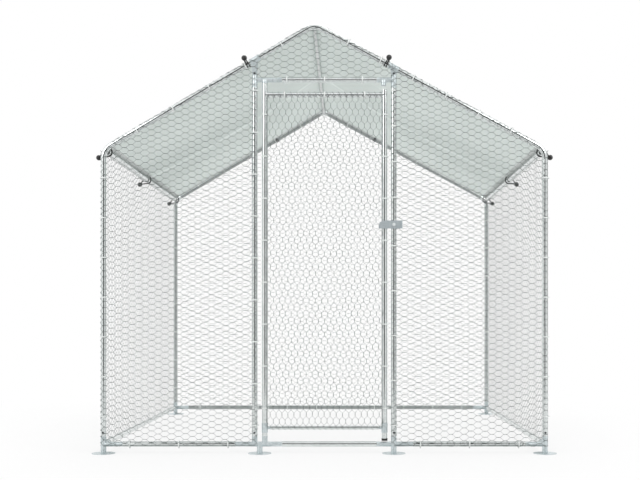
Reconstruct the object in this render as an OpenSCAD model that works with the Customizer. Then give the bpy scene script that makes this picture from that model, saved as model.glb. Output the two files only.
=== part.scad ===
// Walk-in chicken run: a galvanised tube frame with a gable roof, hexagonal wire netting on
// every wall, a netted door with a turning latch, and a roof sheet held by ball bungees.
// Millimetres. The origin is on the ground in the middle of the run, +Z is up and the door
// is at the front, on the -Y side.

/* [Run] */
// Width between the axes of the corner posts
run_width = 2000; // [1800:10:2600]
// Depth between the axes of the corner posts
run_depth = 2000; // [1400:10:3000]
// Height of the eave corners, where the axes of post and rafter cross
eave_height = 1377; // [1340:1:1460]
// Height of the ridge corners, where the axes of the rafters cross
ridge_height = 1943; // [1920:1:2120]
// Sideways offset of the ridge from the middle of the run
ridge_offset = -45; // [-80:1:80]
// Height of the axes of the bottom rails
rail_height = 43; // [36:1:70]

/* [Tubes and fittings] */
// Outer diameter of the frame tubes
tube_d = 25; // [22:0.5:28]
// Wall of the frame tubes
tube_wall = 1.2; // [0.8:0.1:2]
// Wall of the spigots that the tubes are pushed on to
spigot_wall = 1.5; // [1:0.1:2.5]
// Clearance all round between a spigot and the bore of its tube
spigot_gap = 0.3; // [0.1:0.05:0.5]
// Length of a spigot inside its tube
spigot_grip = 60; // [40:1:90]
// Height of the collars that the posts stand on, above the rail axes
collar_height = 36; // [26:1:50]
// Distance from a post axis to the end of a bottom rail
rail_setback = 88; // [50:1:120]
// Distance from the plane of a gable to the end of a purlin
purlin_setback = 30; // [24:1:40]
// Radius of the eave elbows at the tube axis
eave_bend = 70; // [50:1:110]
// Radius of the ridge elbows at the tube axis
ridge_bend = 60; // [50:1:110]
// Length of a spigot inside the bend that it is welded into
spigot_root = 6; // [3:0.5:10]
// Length of the sleeves that carry the door posts on the front rafters
sleeve_length = 50; // [36:1:60]
// Wall of the sleeves
sleeve_wall = 1.2; // [1:0.1:2]
// Clearance all round between a sleeve and the tube inside it
sleeve_gap = 0.2; // [0.1:0.05:0.5]
// Width of the necks of the head connectors at their sleeves, along the rafter
neck_width = 40; // [30:1:46]
// Width of the necks at the lintel axis
neck_foot = 15; // [10:0.5:22]
// Depth of the necks from front to back
neck_depth = 20; // [12:0.5:24]
// Height of the collars of the head connectors above the lintel axis
collar_head = 20; // [16:0.5:30]

/* [Feet] */
// Diameter of the foot plates
plate_d = 105; // [80:1:140]
// Thickness of the foot plates
plate_t = 2.5; // [1.5:0.1:5]

/* [Door] */
// Distance between the axes of the two door posts
door_post_spacing = 630; // [560:1:800]
// Distance from the axis of a door post to the hinge stub beside it
stub_inset = 46; // [42:1:70]
// Distance from the axis of the latch post to the axis of the latch stile
latch_stile_inset = 42; // [38:1:70]
// Distance from the rafter axis over the latch post down to the lintel axis
lintel_drop = 56; // [50:1:150]
// Distance from the lintel axis down to the axis of the door's top rail
door_top_drop = 68; // [60:1:120]
// Distance from the lintel axis down to the top of the latch stile
latch_stile_drop = 45; // [38:1:50]
// Distance from the bottom rail axis up to the axis of the door's bottom rail
door_bottom_lift = 74; // [70:1:200]
// Outer diameter of the door's bottom rail
door_bottom_d = 16; // [12:0.5:20]
// Wall of the door's bottom rail
door_bottom_wall = 1; // [0.8:0.1:2]
// Distance from the stub or post axis beside the door to the end of threshold and lintel
door_rail_setback = 78; // [40:1:110]
// Length of the collar above the upper hinge pin, from the lintel axis
hinge_collar = 14; // [13:0.5:17]
// Reach of the upper hinge pin below the lintel axis
upper_pin_reach = 26; // [22:0.5:34]
// Length of the lower hinge pin inside the hinge stile
lower_pin_grip = 45; // [20:1:60]
// Clearance all round between a hinge pin and the bore of the hinge stile
hinge_gap = 0.35; // [0.2:0.05:0.6]
// Gap between the hinge stile and the collar that it stands on
hinge_seat_gap = 0.3; // [0.2:0.05:1]
// Gap between the hinge stile and the collar above it
hinge_lift_gap = 2; // [0.5:0.1:4]
// Gap between a welded tube end and the tube that it joins
weld_gap = 0.3; // [0.1:0.05:0.5]
// Length of the corner tees on the stiles
tee_length = 44; // [30:1:70]
// Length of a corner tee's spur, from the stile axis
tee_reach = 60; // [40:1:90]
// Distance from a stile axis to the end of the door's bottom rail
door_bottom_setback = 26; // [18:1:35]
// Height of the end cap of the latch stile
cap_height = 12; // [8:0.5:20]
// Wall of the end cap below the stile
cap_base = 2.5; // [1:0.1:4]
// Clearance under the end cap of the latch stile
cap_clear = 3; // [1:0.5:10]

/* [Latch] */
// Height of the latch pivot
latch_height = 1036; // [600:1:1300]
// Reach of the latch plate from its pivot over the latch stile
latch_reach = 67; // [60:1:90]
// Reach of the latch plate from its pivot to the bend of its thumb lip
latch_tail = 30; // [20:1:60]
// Length of the thumb lip
latch_lip = 12; // [6:0.5:20]
// Angle of the thumb lip to the plate
latch_lip_angle = 50; // [20:1:80]
// Height of the latch plate
latch_plate_h = 36; // [28:1:50]
// Thickness of the latch plate
latch_plate_t = 2; // [1.5:0.1:3]
// Corner cut off the end of the latch plate
latch_corner = 14; // [4:0.5:20]
// Diameter of the latch bolt
bolt_d = 8; // [6:0.5:10]
// Clearance all round the latch bolt
bolt_gap = 0.25; // [0.1:0.05:0.5]
// Diameter of the head of the latch bolt
bolt_head_d = 15; // [13:0.5:20]
// Height of the head of the latch bolt
bolt_head_h = 4.5; // [3:0.1:7]
// Width of the latch nut across its flats
nut_width = 13; // [11:0.5:17]
// Thickness of the latch nut
nut_t = 6.5; // [4:0.1:9]
// Diameter of the washer behind the latch plate
washer_d = 24; // [17:0.5:30]

/* [Netting] */
// Thickness of the netting panels
net_t = 1.2; // [0.8:0.1:2]
// Gap between the netting and the tubes that it lies on
net_gap = 0.3; // [0.2:0.05:0.6]
// Pitch of the netting gaps across their twisted edges
net_row = 136; // [110:1:200]
// Pitch of the columns of netting gaps
net_col = 152; // [120:1:220]
// Width of the netting strands
net_strand = 6; // [3:0.5:12]
// Solid border of a netting panel
net_border = 12; // [6:1:30]

/* [Roof sheet] */
// Thickness of the roof sheet
sheet_t = 1; // [0.6:0.1:2]
// Gap between the roof sheet and the purlins under it
sheet_gap = 0.3; // [0.2:0.05:0.6]
// Lap of the roof sheet past the axes of the eave purlins
sheet_lap = 8; // [0:0.5:14]
// Distance from the plane of a gable to the edge of the roof sheet
sheet_inset = 21; // [18:0.5:24]
// Distance from a rafter axis to the eyelets along it
rafter_eyelet = 36; // [34:0.5:50]
// Distance from the axis of an eave purlin to the eyelets along it
eave_eyelet = 22; // [20:0.5:40]
// Outer diameter of the eyelets
eyelet_d = 20; // [18:0.5:23]
// Bore of the eyelets
eyelet_bore = 9.5; // [8:0.5:11]
// Wall of the eyelets
eyelet_wall = 0.8; // [0.5:0.1:1.2]

/* [Bungees] */
// Diameter of the bungee cords
cord_d = 4.5; // [3:0.5:5]
// Gap between a bungee and what it lies on
cord_gap = 0.3; // [0.2:0.05:0.6]
// Radius of the turn of a bungee through its eyelet
eyelet_turn = 6; // [5:0.5:7]
// Radius of the turn of a bungee at its ball
ball_turn = 3; // [3:0.1:4]
// Diameter of the bungee balls
ball_d = 25; // [20:0.5:32]
// Distance from a tube axis to the middle of a bungee ball
ball_reach = 48; // [44:0.5:60]
// Distance from the axis of a door post to the bungees beside it, across the run
rafter_bungee = 33; // [28:0.5:60]
// Distance from the plane of a gable to the end bungees of the eaves
eave_bungee = 48; // [44:1:200]
// Angle of the rafter balls around the tube, from the inboard side over the top
rafter_ball_angle = 155; // [150:1:200]

/* [Hidden] */
$fn = 64;
zinc = "#b4bcbc";
zinc_pale = "#c6d0d2";
net_wire = "#a3aaa9";
sheet_grey = "#c5cac8";
rubber_black = "#1c1d1e";

// Depth that a cutting body runs past the face that it cuts
cut = 1;
// Steps of the roof sheet around the ridge purlin
ridge_steps = 10;
// Sides of a bungee cord, and the most that it turns from ring to ring
cord_sides = 6;
ring_turn = 20;
// Pitch of the gable's netting gaps as a share of the walls' pitch
gable_share = 0.5;
// Least gap that is cut, as a share of a whole one, and distance at which a corner meets the border
least_gap = 0.06;
net_near = 2;
// Share of a netting column taken by half a twisted edge and by half a gap's width
twist_share = 0.26;
gap_share = 1 - twist_share;

post_x = run_width / 2;
post_y = run_depth / 2;
tube_r = tube_d / 2;
tube_bore = tube_d - 2 * tube_wall;
spigot_d = tube_bore - 2 * spigot_gap;
pin_d = tube_bore - 2 * hinge_gap;
sleeve_bore = tube_d + 2 * sleeve_gap;
sleeve_d = sleeve_bore + 2 * sleeve_wall;
rise = ridge_height - eave_height;

UP = [0, 0, 1];
DOWN = [0, 0, -1];
LEFT = -1;
RIGHT = 1;
FRONT = -1;
BACK = 1;

// The roof's slopes: side is LEFT or RIGHT
function pitch(side) = atan2(rise, post_x - side * ridge_offset);
function uphill(side) = [-side * cos(pitch(side)), 0, sin(pitch(side))];
function eave(side, y) = [side * post_x, y, eave_height];
function ridge(y) = [ridge_offset, y, ridge_height];
function rafter_z(side, x) = eave_height + (post_x - side * x) * tan(pitch(side));

// Elbows: the angle where a bend starts, the angle that it turns through, and its middle
function eave_turn(side) = 90 - pitch(side);
function eave_start(side) = side == LEFT ? 90 + pitch(side) : 0;
function ridge_turn() = pitch(LEFT) + pitch(RIGHT);
function ridge_start() = 90 - pitch(RIGHT);
function bend_ray(start, turn) = [cos(start + turn / 2), 0, sin(start + turn / 2)];
function bend_centre(corner, r, start, turn) = corner - r / cos(turn / 2) * bend_ray(start, turn);
function bend_middle(corner, r, start, turn) =
    bend_centre(corner, r, start, turn) + r * bend_ray(start, turn);
function bend_tangent(r, turn) = r * tan(turn / 2);
function eave_reach(side) = bend_tangent(eave_bend, eave_turn(side));
ridge_reach = bend_tangent(ridge_bend, ridge_turn());

// Purlin axes run through the middles of the bends
function eave_purlin(side, y) =
    bend_middle(eave(side, y), eave_bend, eave_start(side), eave_turn(side));
function ridge_purlin_axis(y) = bend_middle(ridge(y), ridge_bend, ridge_start(), ridge_turn());

// The sheet lies in the plane over an eave purlin and the ridge purlin
function sheet_run(side) = ridge_purlin_axis(0) - eave_purlin(side, 0);
function sheet_uphill(side) = sheet_run(side) / norm(sheet_run(side));
sheet_under = tube_r + sheet_gap;
sheet_middle = sheet_under + sheet_t / 2;

// The front wall: posts, stiles and the heights of the door
hinge_post_x = -door_post_spacing / 2;
latch_post_x = door_post_spacing / 2;
hinge_x = hinge_post_x + stub_inset;
latch_stub_x = latch_post_x - stub_inset;
latch_stile_x = latch_post_x - latch_stile_inset;
threshold_from = hinge_x + door_rail_setback;
threshold_to = latch_post_x - door_rail_setback;
lintel_height = rafter_z(RIGHT, latch_post_x) - lintel_drop;
collar_top = rail_height + collar_height;
collar_under = lintel_height - collar_height;
door_top = lintel_height - door_top_drop;
door_bottom = rail_height + door_bottom_lift;
hinge_stile_from = collar_top + hinge_seat_gap;
hinge_stile_to = lintel_height - hinge_collar - hinge_lift_gap;
latch_stile_from = rail_height + tube_r + cap_clear + cap_base;
latch_stile_to = lintel_height - latch_stile_drop;

// Netting planes, and the latch in front of them
net_face = tube_r + net_gap;
net_front = net_face + net_t;
net_under = sleeve_d / 2 + net_gap;
washer_t = net_front + net_gap - tube_r;
plate_back = -post_y - tube_r - washer_t;
plate_front = plate_back - latch_plate_t;

// Bungees: the radius of a cord around a tube, at the eaves outside the sheet's edge too, the
// distance from the tube axis to the turn at its ball, and its depth below an eave purlin's axis
eave_cord_r = norm([sheet_lap, sheet_under + sheet_t]) + cord_gap + cord_d / 2;
rafter_cord_r = tube_r + cord_gap + cord_d / 2;
ball_neck = ball_reach - ball_d / 2 - cord_gap - cord_d / 2 - ball_turn;
eave_bungee_ys = [-post_y + eave_bungee, 0, post_y - eave_bungee];
function cord_dip(side) =
    max(eave_cord_r, ball_neck * sheet_uphill(side)[2] + ball_turn) + cord_d / 2 + net_gap;

// A point at a distance from one point towards another
function toward(from, to, distance) = from + (to - from) / norm(to - from) * distance;

// A round bar between two points
module bar(from, to, d) {
    run = to - from;
    translate(from)
        rotate([0, acos(run[2] / norm(run)), atan2(run[1], run[0])])
            cylinder(d = d, h = norm(run));
}

// A tube between two points, open at both ends
module tube(from, to, d = tube_d, wall = tube_wall) {
    difference() {
        bar(from, to, d);
        bar(toward(from, to, -cut), toward(to, from, -cut), d - 2 * wall);
    }
}

// The hollow of a spigot, from its open end back along its grip
module spigot_hollow(end, root) {
    bar(toward(end, root, -cut), toward(end, root, spigot_grip), spigot_d - 2 * spigot_wall);
}

// Stands its children at a point, with the given first and second axes
module place(origin, first, second) {
    third = cross(first, second);
    multmatrix([
        [first[0], second[0], third[0], origin[0]],
        [first[1], second[1], third[1], origin[1]],
        [first[2], second[2], third[2], origin[2]]
    ])
        children();
}

// A bent bar in the plane of a gable
module bend(corner, r, start, turn, d) {
    translate(bend_centre(corner, r, start, turn))
        rotate([90, 0, 0])
            rotate([0, 0, start])
                rotate_extrude(angle = turn)
                    translate([r, 0])
                        circle(d = d);
}

// A round foot plate under a leg
module foot_plate(x, y) {
    translate([x, y, 0])
        cylinder(d = plate_d, h = plate_t);
}

// Corner base: foot plate, leg with a collar for the post, and two arms for the rails
module corner_base(side, end) {
    foot = [side * post_x, end * post_y, 0];
    hub = foot + rail_height * UP;
    arm = rail_setback + spigot_grip;
    across = hub - [side * arm, 0, 0];
    along = hub - [0, end * arm, 0];
    top = foot + (collar_top + spigot_grip) * UP;
    color(zinc_pale)
        difference() {
            union() {
                foot_plate(foot[0], foot[1]);
                bar(foot + plate_t / 2 * UP, foot + collar_top * UP, tube_d);
                bar(foot + rail_height * UP, top, spigot_d);
                bar(hub, across, spigot_d);
                bar(hub, along, spigot_d);
            }
            spigot_hollow(across, hub);
            spigot_hollow(along, hub);
            spigot_hollow(top, hub);
        }
}

// Base of a door post: one arm through both rails, a collar for the post, and a foot
module door_post_base(foot_x, post_at, arm_from, arm_to, pin_at) {
    axis = [0, -post_y, rail_height];
    from = axis + [arm_from, 0, 0];
    to = axis + [arm_to, 0, 0];
    post_top = [post_at, -post_y, collar_top + spigot_grip];
    color(zinc_pale)
        difference() {
            union() {
                foot_plate(foot_x, -post_y);
                bar([foot_x, -post_y, plate_t / 2], [foot_x, -post_y, rail_height], tube_d);
                bar(from, to, spigot_d);
                for (x = concat([post_at], pin_at))
                    bar([x, -post_y, rail_height], [x, -post_y, collar_top], tube_d);
                bar([post_at, -post_y, rail_height], post_top, spigot_d);
                for (x = pin_at)
                    bar([x, -post_y, rail_height], [x, -post_y, collar_top + lower_pin_grip], pin_d);
            }
            spigot_hollow(from, axis);
            spigot_hollow(to, axis);
            spigot_hollow(post_top, [post_at, -post_y, rail_height]);
        }
}

// The hinge post's base also carries the lower hinge pin, and its foot stands between the two
module hinge_post_base() {
    door_post_base(
        (hinge_post_x + hinge_x) / 2, hinge_post_x,
        hinge_post_x - rail_setback - spigot_grip, threshold_from + spigot_grip, [hinge_x]
    );
}

module latch_post_base() {
    door_post_base(
        latch_post_x, latch_post_x,
        threshold_to - spigot_grip, latch_post_x + rail_setback + spigot_grip, []
    );
}

// Rail along the ground from one side to the other
module cross_rail(from_x, to_x, y) {
    color(zinc)
        tube([from_x, y, rail_height], [to_x, y, rail_height]);
}

module side_rail(side) {
    reach = post_y - rail_setback;
    color(zinc)
        tube([side * post_x, -reach, rail_height], [side * post_x, reach, rail_height]);
}

module corner_post(side, end) {
    foot = [side * post_x, end * post_y, 0];
    color(zinc)
        tube(foot + collar_top * UP, foot + (eave_height - eave_reach(side)) * UP);
}

module hinge_post() {
    color(zinc)
        tube([hinge_post_x, -post_y, collar_top], [hinge_post_x, -post_y, collar_under]);
}

// The latch post is drilled through for the latch bolt
module latch_post() {
    color(zinc)
        difference() {
            tube([latch_post_x, -post_y, collar_top], [latch_post_x, -post_y, collar_under]);
            bar(
                [latch_post_x, -post_y - tube_d, latch_height],
                [latch_post_x, -post_y + tube_d, latch_height],
                bolt_d + 2 * bolt_gap
            );
        }
}

// Elbow: a bend with a spigot in each end face, and one across it for a purlin
module elbow(corner, r, start, turn, first, second, end) {
    shoulder = bend_tangent(r, turn);
    grip = shoulder + spigot_grip;
    middle = bend_middle(corner, r, start, turn);
    purlin_end = middle - [0, end * (purlin_setback + spigot_grip), 0];
    color(zinc)
        difference() {
            union() {
                bend(corner, r, start, turn, tube_d);
                for (ray = [first, second])
                    bar(corner + (shoulder - spigot_root) * ray, corner + grip * ray, spigot_d);
                bar(middle, purlin_end, spigot_d);
            }
            for (ray = [first, second])
                spigot_hollow(corner + grip * ray, corner);
            spigot_hollow(purlin_end, middle);
        }
}

module eave_elbow(side, end) {
    elbow(
        eave(side, end * post_y), eave_bend, eave_start(side), eave_turn(side),
        DOWN, uphill(side), end
    );
}

module ridge_elbow(end) {
    elbow(
        ridge(end * post_y), ridge_bend, ridge_start(), ridge_turn(),
        -uphill(LEFT), -uphill(RIGHT), end
    );
}

module rafter(side, end) {
    y = end * post_y;
    color(zinc)
        tube(
            eave(side, y) + eave_reach(side) * uphill(side),
            ridge(y) - ridge_reach * uphill(side)
        );
}

// The flat neck of a head connector, which tapers from its sleeve down to its collar
module neck(side, post_at) {
    top = [post_at, rafter_z(side, post_at)];
    reach = -side * neck_width / 2 * flat(uphill(side));
    translate([0, -post_y, 0])
        rotate([90, 0, 0])
            linear_extrude(height = neck_depth, center = true)
                polygon([
                    [post_at - neck_foot / 2, lintel_height],
                    [post_at + neck_foot / 2, lintel_height],
                    top + reach,
                    top - reach
                ]);
}

// Head of a door post: a sleeve on the rafter, a neck and a collar, a leg into the post, an arm
// for the lintel and a hinge pin under the arm
module head_connector(side, post_at, stub_at, arm_to) {
    crossing = [post_at, -post_y, rafter_z(side, post_at)];
    hub = [post_at, -post_y, lintel_height];
    leg_end = [post_at, -post_y, collar_under - spigot_grip];
    arm_end = [arm_to, -post_y, lintel_height];
    stub = [stub_at, -post_y, lintel_height];
    half = sleeve_length / 2 * uphill(side);
    color(zinc_pale)
        difference() {
            union() {
                bar(crossing - half, crossing + half, sleeve_d);
                neck(side, post_at);
                bar(hub + collar_head * UP, [post_at, -post_y, collar_under], tube_d);
                bar(hub, leg_end, spigot_d);
                bar(hub, arm_end, spigot_d);
                bar(stub, stub + hinge_collar * DOWN, tube_d);
                bar(stub, stub + upper_pin_reach * DOWN, pin_d);
            }
            bar(crossing - 2 * half, crossing + 2 * half, sleeve_bore);
            spigot_hollow(leg_end, hub);
            spigot_hollow(arm_end, hub);
        }
}

module hinge_head_connector() {
    head_connector(LEFT, hinge_post_x, hinge_x, threshold_from + spigot_grip);
}

module latch_head_connector() {
    head_connector(RIGHT, latch_post_x, latch_stub_x, threshold_to - spigot_grip);
}

module lintel() {
    color(zinc)
        tube([threshold_from, -post_y, lintel_height], [threshold_to, -post_y, lintel_height]);
}

module eave_purlin_tube(side) {
    reach = post_y - purlin_setback;
    color(zinc)
        tube(eave_purlin(side, -reach), eave_purlin(side, reach));
}

module ridge_purlin() {
    reach = post_y - purlin_setback;
    color(zinc)
        tube(ridge_purlin_axis(-reach), ridge_purlin_axis(reach));
}

// Netting: six-sided gaps on a staggered grid, cut off at the panel's border
function inset(p, a, b) =
    let (distance = cross(b - a, p - a) / norm(b - a) - net_border)
    abs(distance) < net_near ? 0 : distance;
function cut_along(points, a, b) = [
    for (i = [0 : 1 : len(points) - 1])
    let (p = points[i])
    let (q = points[(i + 1) % len(points)])
    let (dp = inset(p, a, b))
    let (dq = inset(q, a, b))
    each concat(
        dp >= 0 ? [p] : [],
        dp * dq < 0 ? [p + (q - p) * dp / (dp - dq)] : []
    )
];
function cut_to(points, outline, i = 0) =
    i == len(outline)
        ? points
        : cut_to(cut_along(points, outline[i], outline[(i + 1) % len(outline)]), outline, i + 1);
function sum(list, i = 0) = i >= len(list) ? 0 : list[i] + sum(list, i + 1);
function area(points) = sum([
    for (i = [0 : 1 : len(points) - 1])
        cross(points[i], points[(i + 1) % len(points)]) / 2
]);
function turned(p, upright) = upright ? [p[1], p[0]] : p;
function gap(centre, upright, row, col) =
    let (keep = 1 - net_strand / row)
    let (a = gap_share * col * keep)
    let (e = twist_share * col * keep)
    let (b = row / 2 * keep)
    [
        for (p = [[a, 0], [e, b], [-e, b], [-a, 0], [-e, -b], [e, -b]])
            centre + turned(p, upright)
    ];
function span(outline, axis) = [
    min([for (p = outline) p[axis]]),
    max([for (p = outline) p[axis]])
];
function gaps(outline, upright, row, col) =
    let (across = span(outline, upright ? 1 : 0))
    let (up = span(outline, upright ? 0 : 1))
    let (centre = (across[0] + across[1]) / 2)
    [
        for (i = [-ceil((across[1] - centre) / col) : ceil((across[1] - centre) / col)])
        for (j = [0 : ceil((up[1] - up[0]) / row)])
        let (middle = [centre + i * col, up[0] + net_border + (j + abs(i) % 2 / 2) * row])
        let (points = cut_to(gap(turned(middle, upright), upright, row, col), outline))
        if (abs(area(points)) > least_gap * row * col) points
    ];

// A panel of netting from its outline, anticlockwise as seen from outside the run
module net_panel(outline, upright = false, share = 1) {
    loops = concat([outline], gaps(outline, upright, share * net_row, share * net_col));
    color(net_wire)
        linear_extrude(height = net_t)
            polygon(
                [for (loop = loops) each loop],
                [
                    for (i = 0, from = 0; i < len(loops); from = from + len(loops[i]), i = i + 1)
                        [for (k = [0 : len(loops[i]) - 1]) from + k]
                ]
            );
}

net_foot = rail_height - tube_r;
net_corner_x = post_x + tube_r;
net_corner_y = post_y + tube_r;
net_door_edge = door_post_spacing / 2 + max(washer_d / 2, tube_r) + net_gap;

// Height of the netting's top edge under a rafter
function net_top(side, x) = rafter_z(side, x) - net_under / cos(pitch(side));
net_apex_x =
    (net_top(RIGHT, 0) - net_top(LEFT, 0)) / (tan(pitch(LEFT)) + tan(pitch(RIGHT)));
net_apex = [net_apex_x, net_top(LEFT, net_apex_x)];

module side_net(side) {
    top = eave_purlin(side, 0)[2] - cord_dip(side);
    place([side * (post_x + net_face), 0, 0], [0, side, 0], UP)
        net_panel([
            [-net_corner_y, net_foot],
            [net_corner_y, net_foot],
            [net_corner_y, top],
            [-net_corner_y, top]
        ]);
}

module back_net() {
    place([0, post_y + net_face, 0], [-1, 0, 0], UP)
        net_panel([
            [-net_corner_x, net_foot],
            [net_corner_x, net_foot],
            [net_corner_x, net_top(LEFT, -net_corner_x)],
            [-net_apex[0], net_apex[1]],
            [-net_corner_x, net_top(RIGHT, net_corner_x)]
        ]);
}

module front_wall_panel(outline, share = 1) {
    place([0, -post_y - net_face, 0], [1, 0, 0], UP)
        net_panel(outline, share = share);
}

module front_left_net() {
    front_wall_panel([
        [-net_corner_x, net_foot],
        [-net_door_edge, net_foot],
        [-net_door_edge, net_top(LEFT, -net_door_edge)],
        [-net_corner_x, net_top(LEFT, -net_corner_x)]
    ]);
}

module front_right_net() {
    front_wall_panel([
        [net_door_edge, net_foot],
        [net_corner_x, net_foot],
        [net_corner_x, net_top(RIGHT, net_corner_x)],
        [net_door_edge, net_top(RIGHT, net_door_edge)]
    ]);
}

module gable_net() {
    front_wall_panel([
        [hinge_post_x, lintel_height - tube_r],
        [latch_post_x, lintel_height - tube_r],
        [latch_post_x, net_top(RIGHT, latch_post_x)],
        net_apex,
        [hinge_post_x, net_top(LEFT, hinge_post_x)]
    ], gable_share);
}

// Roof sheet: one sheet over the three purlins, with a hole for each eyelet
function flat(p) = [p[0], p[2]];
function sheet_angle(side) = 90 - side * atan2(sheet_uphill(side)[2], abs(sheet_uphill(side)[0]));
function sheet_edge(side, offset) =
    flat(eave_purlin(side, 0) - sheet_lap * sheet_uphill(side))
    + offset * [cos(sheet_angle(side)), sin(sheet_angle(side))];
function sheet_crown(offset) = [
    for (i = [0 : ridge_steps])
        let (a = sheet_angle(LEFT) + (sheet_angle(RIGHT) - sheet_angle(LEFT)) * i / ridge_steps)
        flat(ridge_purlin_axis(0)) + offset * [cos(a), sin(a)]
];
function sheet_line(offset) = concat(
    [sheet_edge(LEFT, offset)], sheet_crown(offset), [sheet_edge(RIGHT, offset)]
);
function reversed(list) = [for (i = [len(list) - 1 : -1 : 0]) list[i]];
function sheet_up(side) = [cos(sheet_angle(side)), 0, sin(sheet_angle(side))];

// Where the bungees cross the tubes: [tube point, inboard direction, side, cord radius, ball angle,
// distance from the tube axis to the eyelet]
function rafter_point(side, end) =
    let (x = (side == LEFT ? hinge_post_x : latch_post_x) - rafter_bungee)
    [x, end * post_y, rafter_z(side, x)];
BUNGEES = concat(
    [
        for (side = [LEFT, RIGHT])
        for (y = eave_bungee_ys)
            [eave_purlin(side, y), sheet_uphill(side), side, eave_cord_r, 180, eave_eyelet]
    ],
    [
        for (side = [LEFT, RIGHT])
        for (end = [FRONT, BACK])
        let (point = rafter_point(side, end))
            [point, [0, -end, 0], side, rafter_cord_r, rafter_ball_angle, rafter_eyelet]
    ]
);
// Height of the sheet's middle over the tube axis at a bungee
function sheet_over(bungee) =
    sheet_middle + (eave_purlin(bungee[2], 0) - [bungee[0][0], 0, bungee[0][2]]) * sheet_up(bungee[2]);

module at_bungee(bungee) {
    place(bungee[0], bungee[1], sheet_up(bungee[2]))
        children();
}

module at_eyelet(bungee) {
    at_bungee(bungee)
        translate([bungee[5], sheet_over(bungee), 0])
            rotate([-90, 0, 0])
                children();
}

module roof_sheet() {
    color(sheet_grey)
        difference() {
            rotate([90, 0, 0])
                linear_extrude(height = run_depth - 2 * sheet_inset, center = true)
                    polygon(concat(sheet_line(sheet_under), reversed(sheet_line(sheet_under + sheet_t))));
            for (bungee = BUNGEES)
                at_eyelet(bungee)
                    cylinder(d = eyelet_bore + 2 * (eyelet_wall + sheet_gap), h = eyelet_d, center = true);
        }
}

// Eyelet: a barrel through the sheet with a flange on each face
module roof_eyelets() {
    low = sheet_t / 2 + sheet_gap;
    high = low + eyelet_wall;
    r = eyelet_bore / 2;
    color(zinc_pale)
        for (bungee = BUNGEES)
            at_eyelet(bungee)
                rotate_extrude()
                    polygon([
                        [r, -high], [eyelet_d / 2, -high], [eyelet_d / 2, -low],
                        [r + eyelet_wall, -low], [r + eyelet_wall, low],
                        [eyelet_d / 2, low], [eyelet_d / 2, high], [r, high]
                    ]);
}

// Bungee cord: a closed loop round its tube, out to its ball and through its eyelet, in the plane
// across the tube. A bend of it is [centre, radius], and a ring of it [centre, radius, angle]
function loop_bends(bungee) =
    let (tube = [[0, 0], bungee[3]])
    let (ball = [ball_neck * [cos(bungee[4]), sin(bungee[4])], ball_turn])
    let (eyelet = [[bungee[5] - eyelet_turn, sheet_over(bungee)], eyelet_turn])
    [tube, ball, tube, eyelet];
function leaving(bend, next) =
    let (way = next[0] - bend[0])
    atan2(way[1], way[0]) - acos((bend[1] - next[1]) / norm(way));
function loop_rings(bends) = [
    for (i = [0 : len(bends) - 1])
    let (bend = bends[i])
    let (from = leaving(bends[(i + len(bends) - 1) % len(bends)], bend))
    let (turn = (leaving(bend, bends[(i + 1) % len(bends)]) - from + 720) % 360)
    let (steps = ceil(turn / ring_turn))
    for (k = [0 : steps])
        [bend[0], bend[1], from + turn * k / steps]
];
function ring_point(ring, side_angle) =
    let (r = ring[1] + cord_d / 2 * cos(side_angle))
    [ring[0][0] + r * cos(ring[2]), ring[0][1] + r * sin(ring[2]), cord_d / 2 * sin(side_angle)];

module swept_loop(rings) {
    n = len(rings);
    m = cord_sides;
    points = [for (ring = rings) for (k = [0 : m - 1]) ring_point(ring, 360 * k / m)];
    faces = [
        for (i = [0 : n - 1])
        for (k = [0 : m - 1])
        let (a = i * m + k)
        let (b = i * m + (k + 1) % m)
        let (c = (i + 1) % n * m + (k + 1) % m)
        let (d = (i + 1) % n * m + k)
        each [[a, b, c], [a, c, d]]
    ];
    polyhedron(points, faces);
}

module bungee_cords() {
    color(rubber_black)
        for (bungee = BUNGEES)
            at_bungee(bungee)
                swept_loop(loop_rings(loop_bends(bungee)));
}

module bungee_balls() {
    color(rubber_black)
        for (bungee = BUNGEES)
            at_bungee(bungee)
                rotate([0, 0, bungee[4]])
                    translate([ball_reach, 0, 0])
                        sphere(d = ball_d);
}

// Door: two stiles, two rails, corner tees, netting and the end cap of the latch stile
module hinge_stile() {
    color(zinc)
        tube([hinge_x, -post_y, hinge_stile_from], [hinge_x, -post_y, hinge_stile_to]);
}

module latch_stile() {
    color(zinc)
        tube([latch_stile_x, -post_y, latch_stile_from], [latch_stile_x, -post_y, latch_stile_to]);
}

// The top rail's ends are cut to the round of the stiles
module door_top_rail() {
    color(zinc)
        difference() {
            tube([hinge_x, -post_y, door_top], [latch_stile_x, -post_y, door_top]);
            for (x = [hinge_x, latch_stile_x])
                translate([x, -post_y, door_top])
                    cylinder(d = tube_d + 2 * weld_gap, h = 2 * tube_d, center = true);
        }
}

module door_bottom_rail() {
    color(zinc)
        tube(
            [hinge_x + door_bottom_setback, -post_y, door_bottom],
            [latch_stile_x - door_bottom_setback, -post_y, door_bottom],
            door_bottom_d,
            door_bottom_wall
        );
}

// A tee is a sleeve on the stile with a spur into the bottom rail
module door_corner_tees() {
    spur_d = door_bottom_d - 2 * door_bottom_wall - 2 * spigot_gap;
    color(zinc_pale)
        for (tee = [[hinge_x, 1], [latch_stile_x, -1]]) {
            centre = [tee[0], -post_y, door_bottom];
            difference() {
                union() {
                    translate(centre)
                        cylinder(d = sleeve_d, h = tee_length, center = true);
                    bar(centre, centre + [tee[1] * tee_reach, 0, 0], spur_d);
                }
                translate(centre)
                    cylinder(d = sleeve_bore, h = tee_length + 2 * cut, center = true);
            }
        }
}

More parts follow.
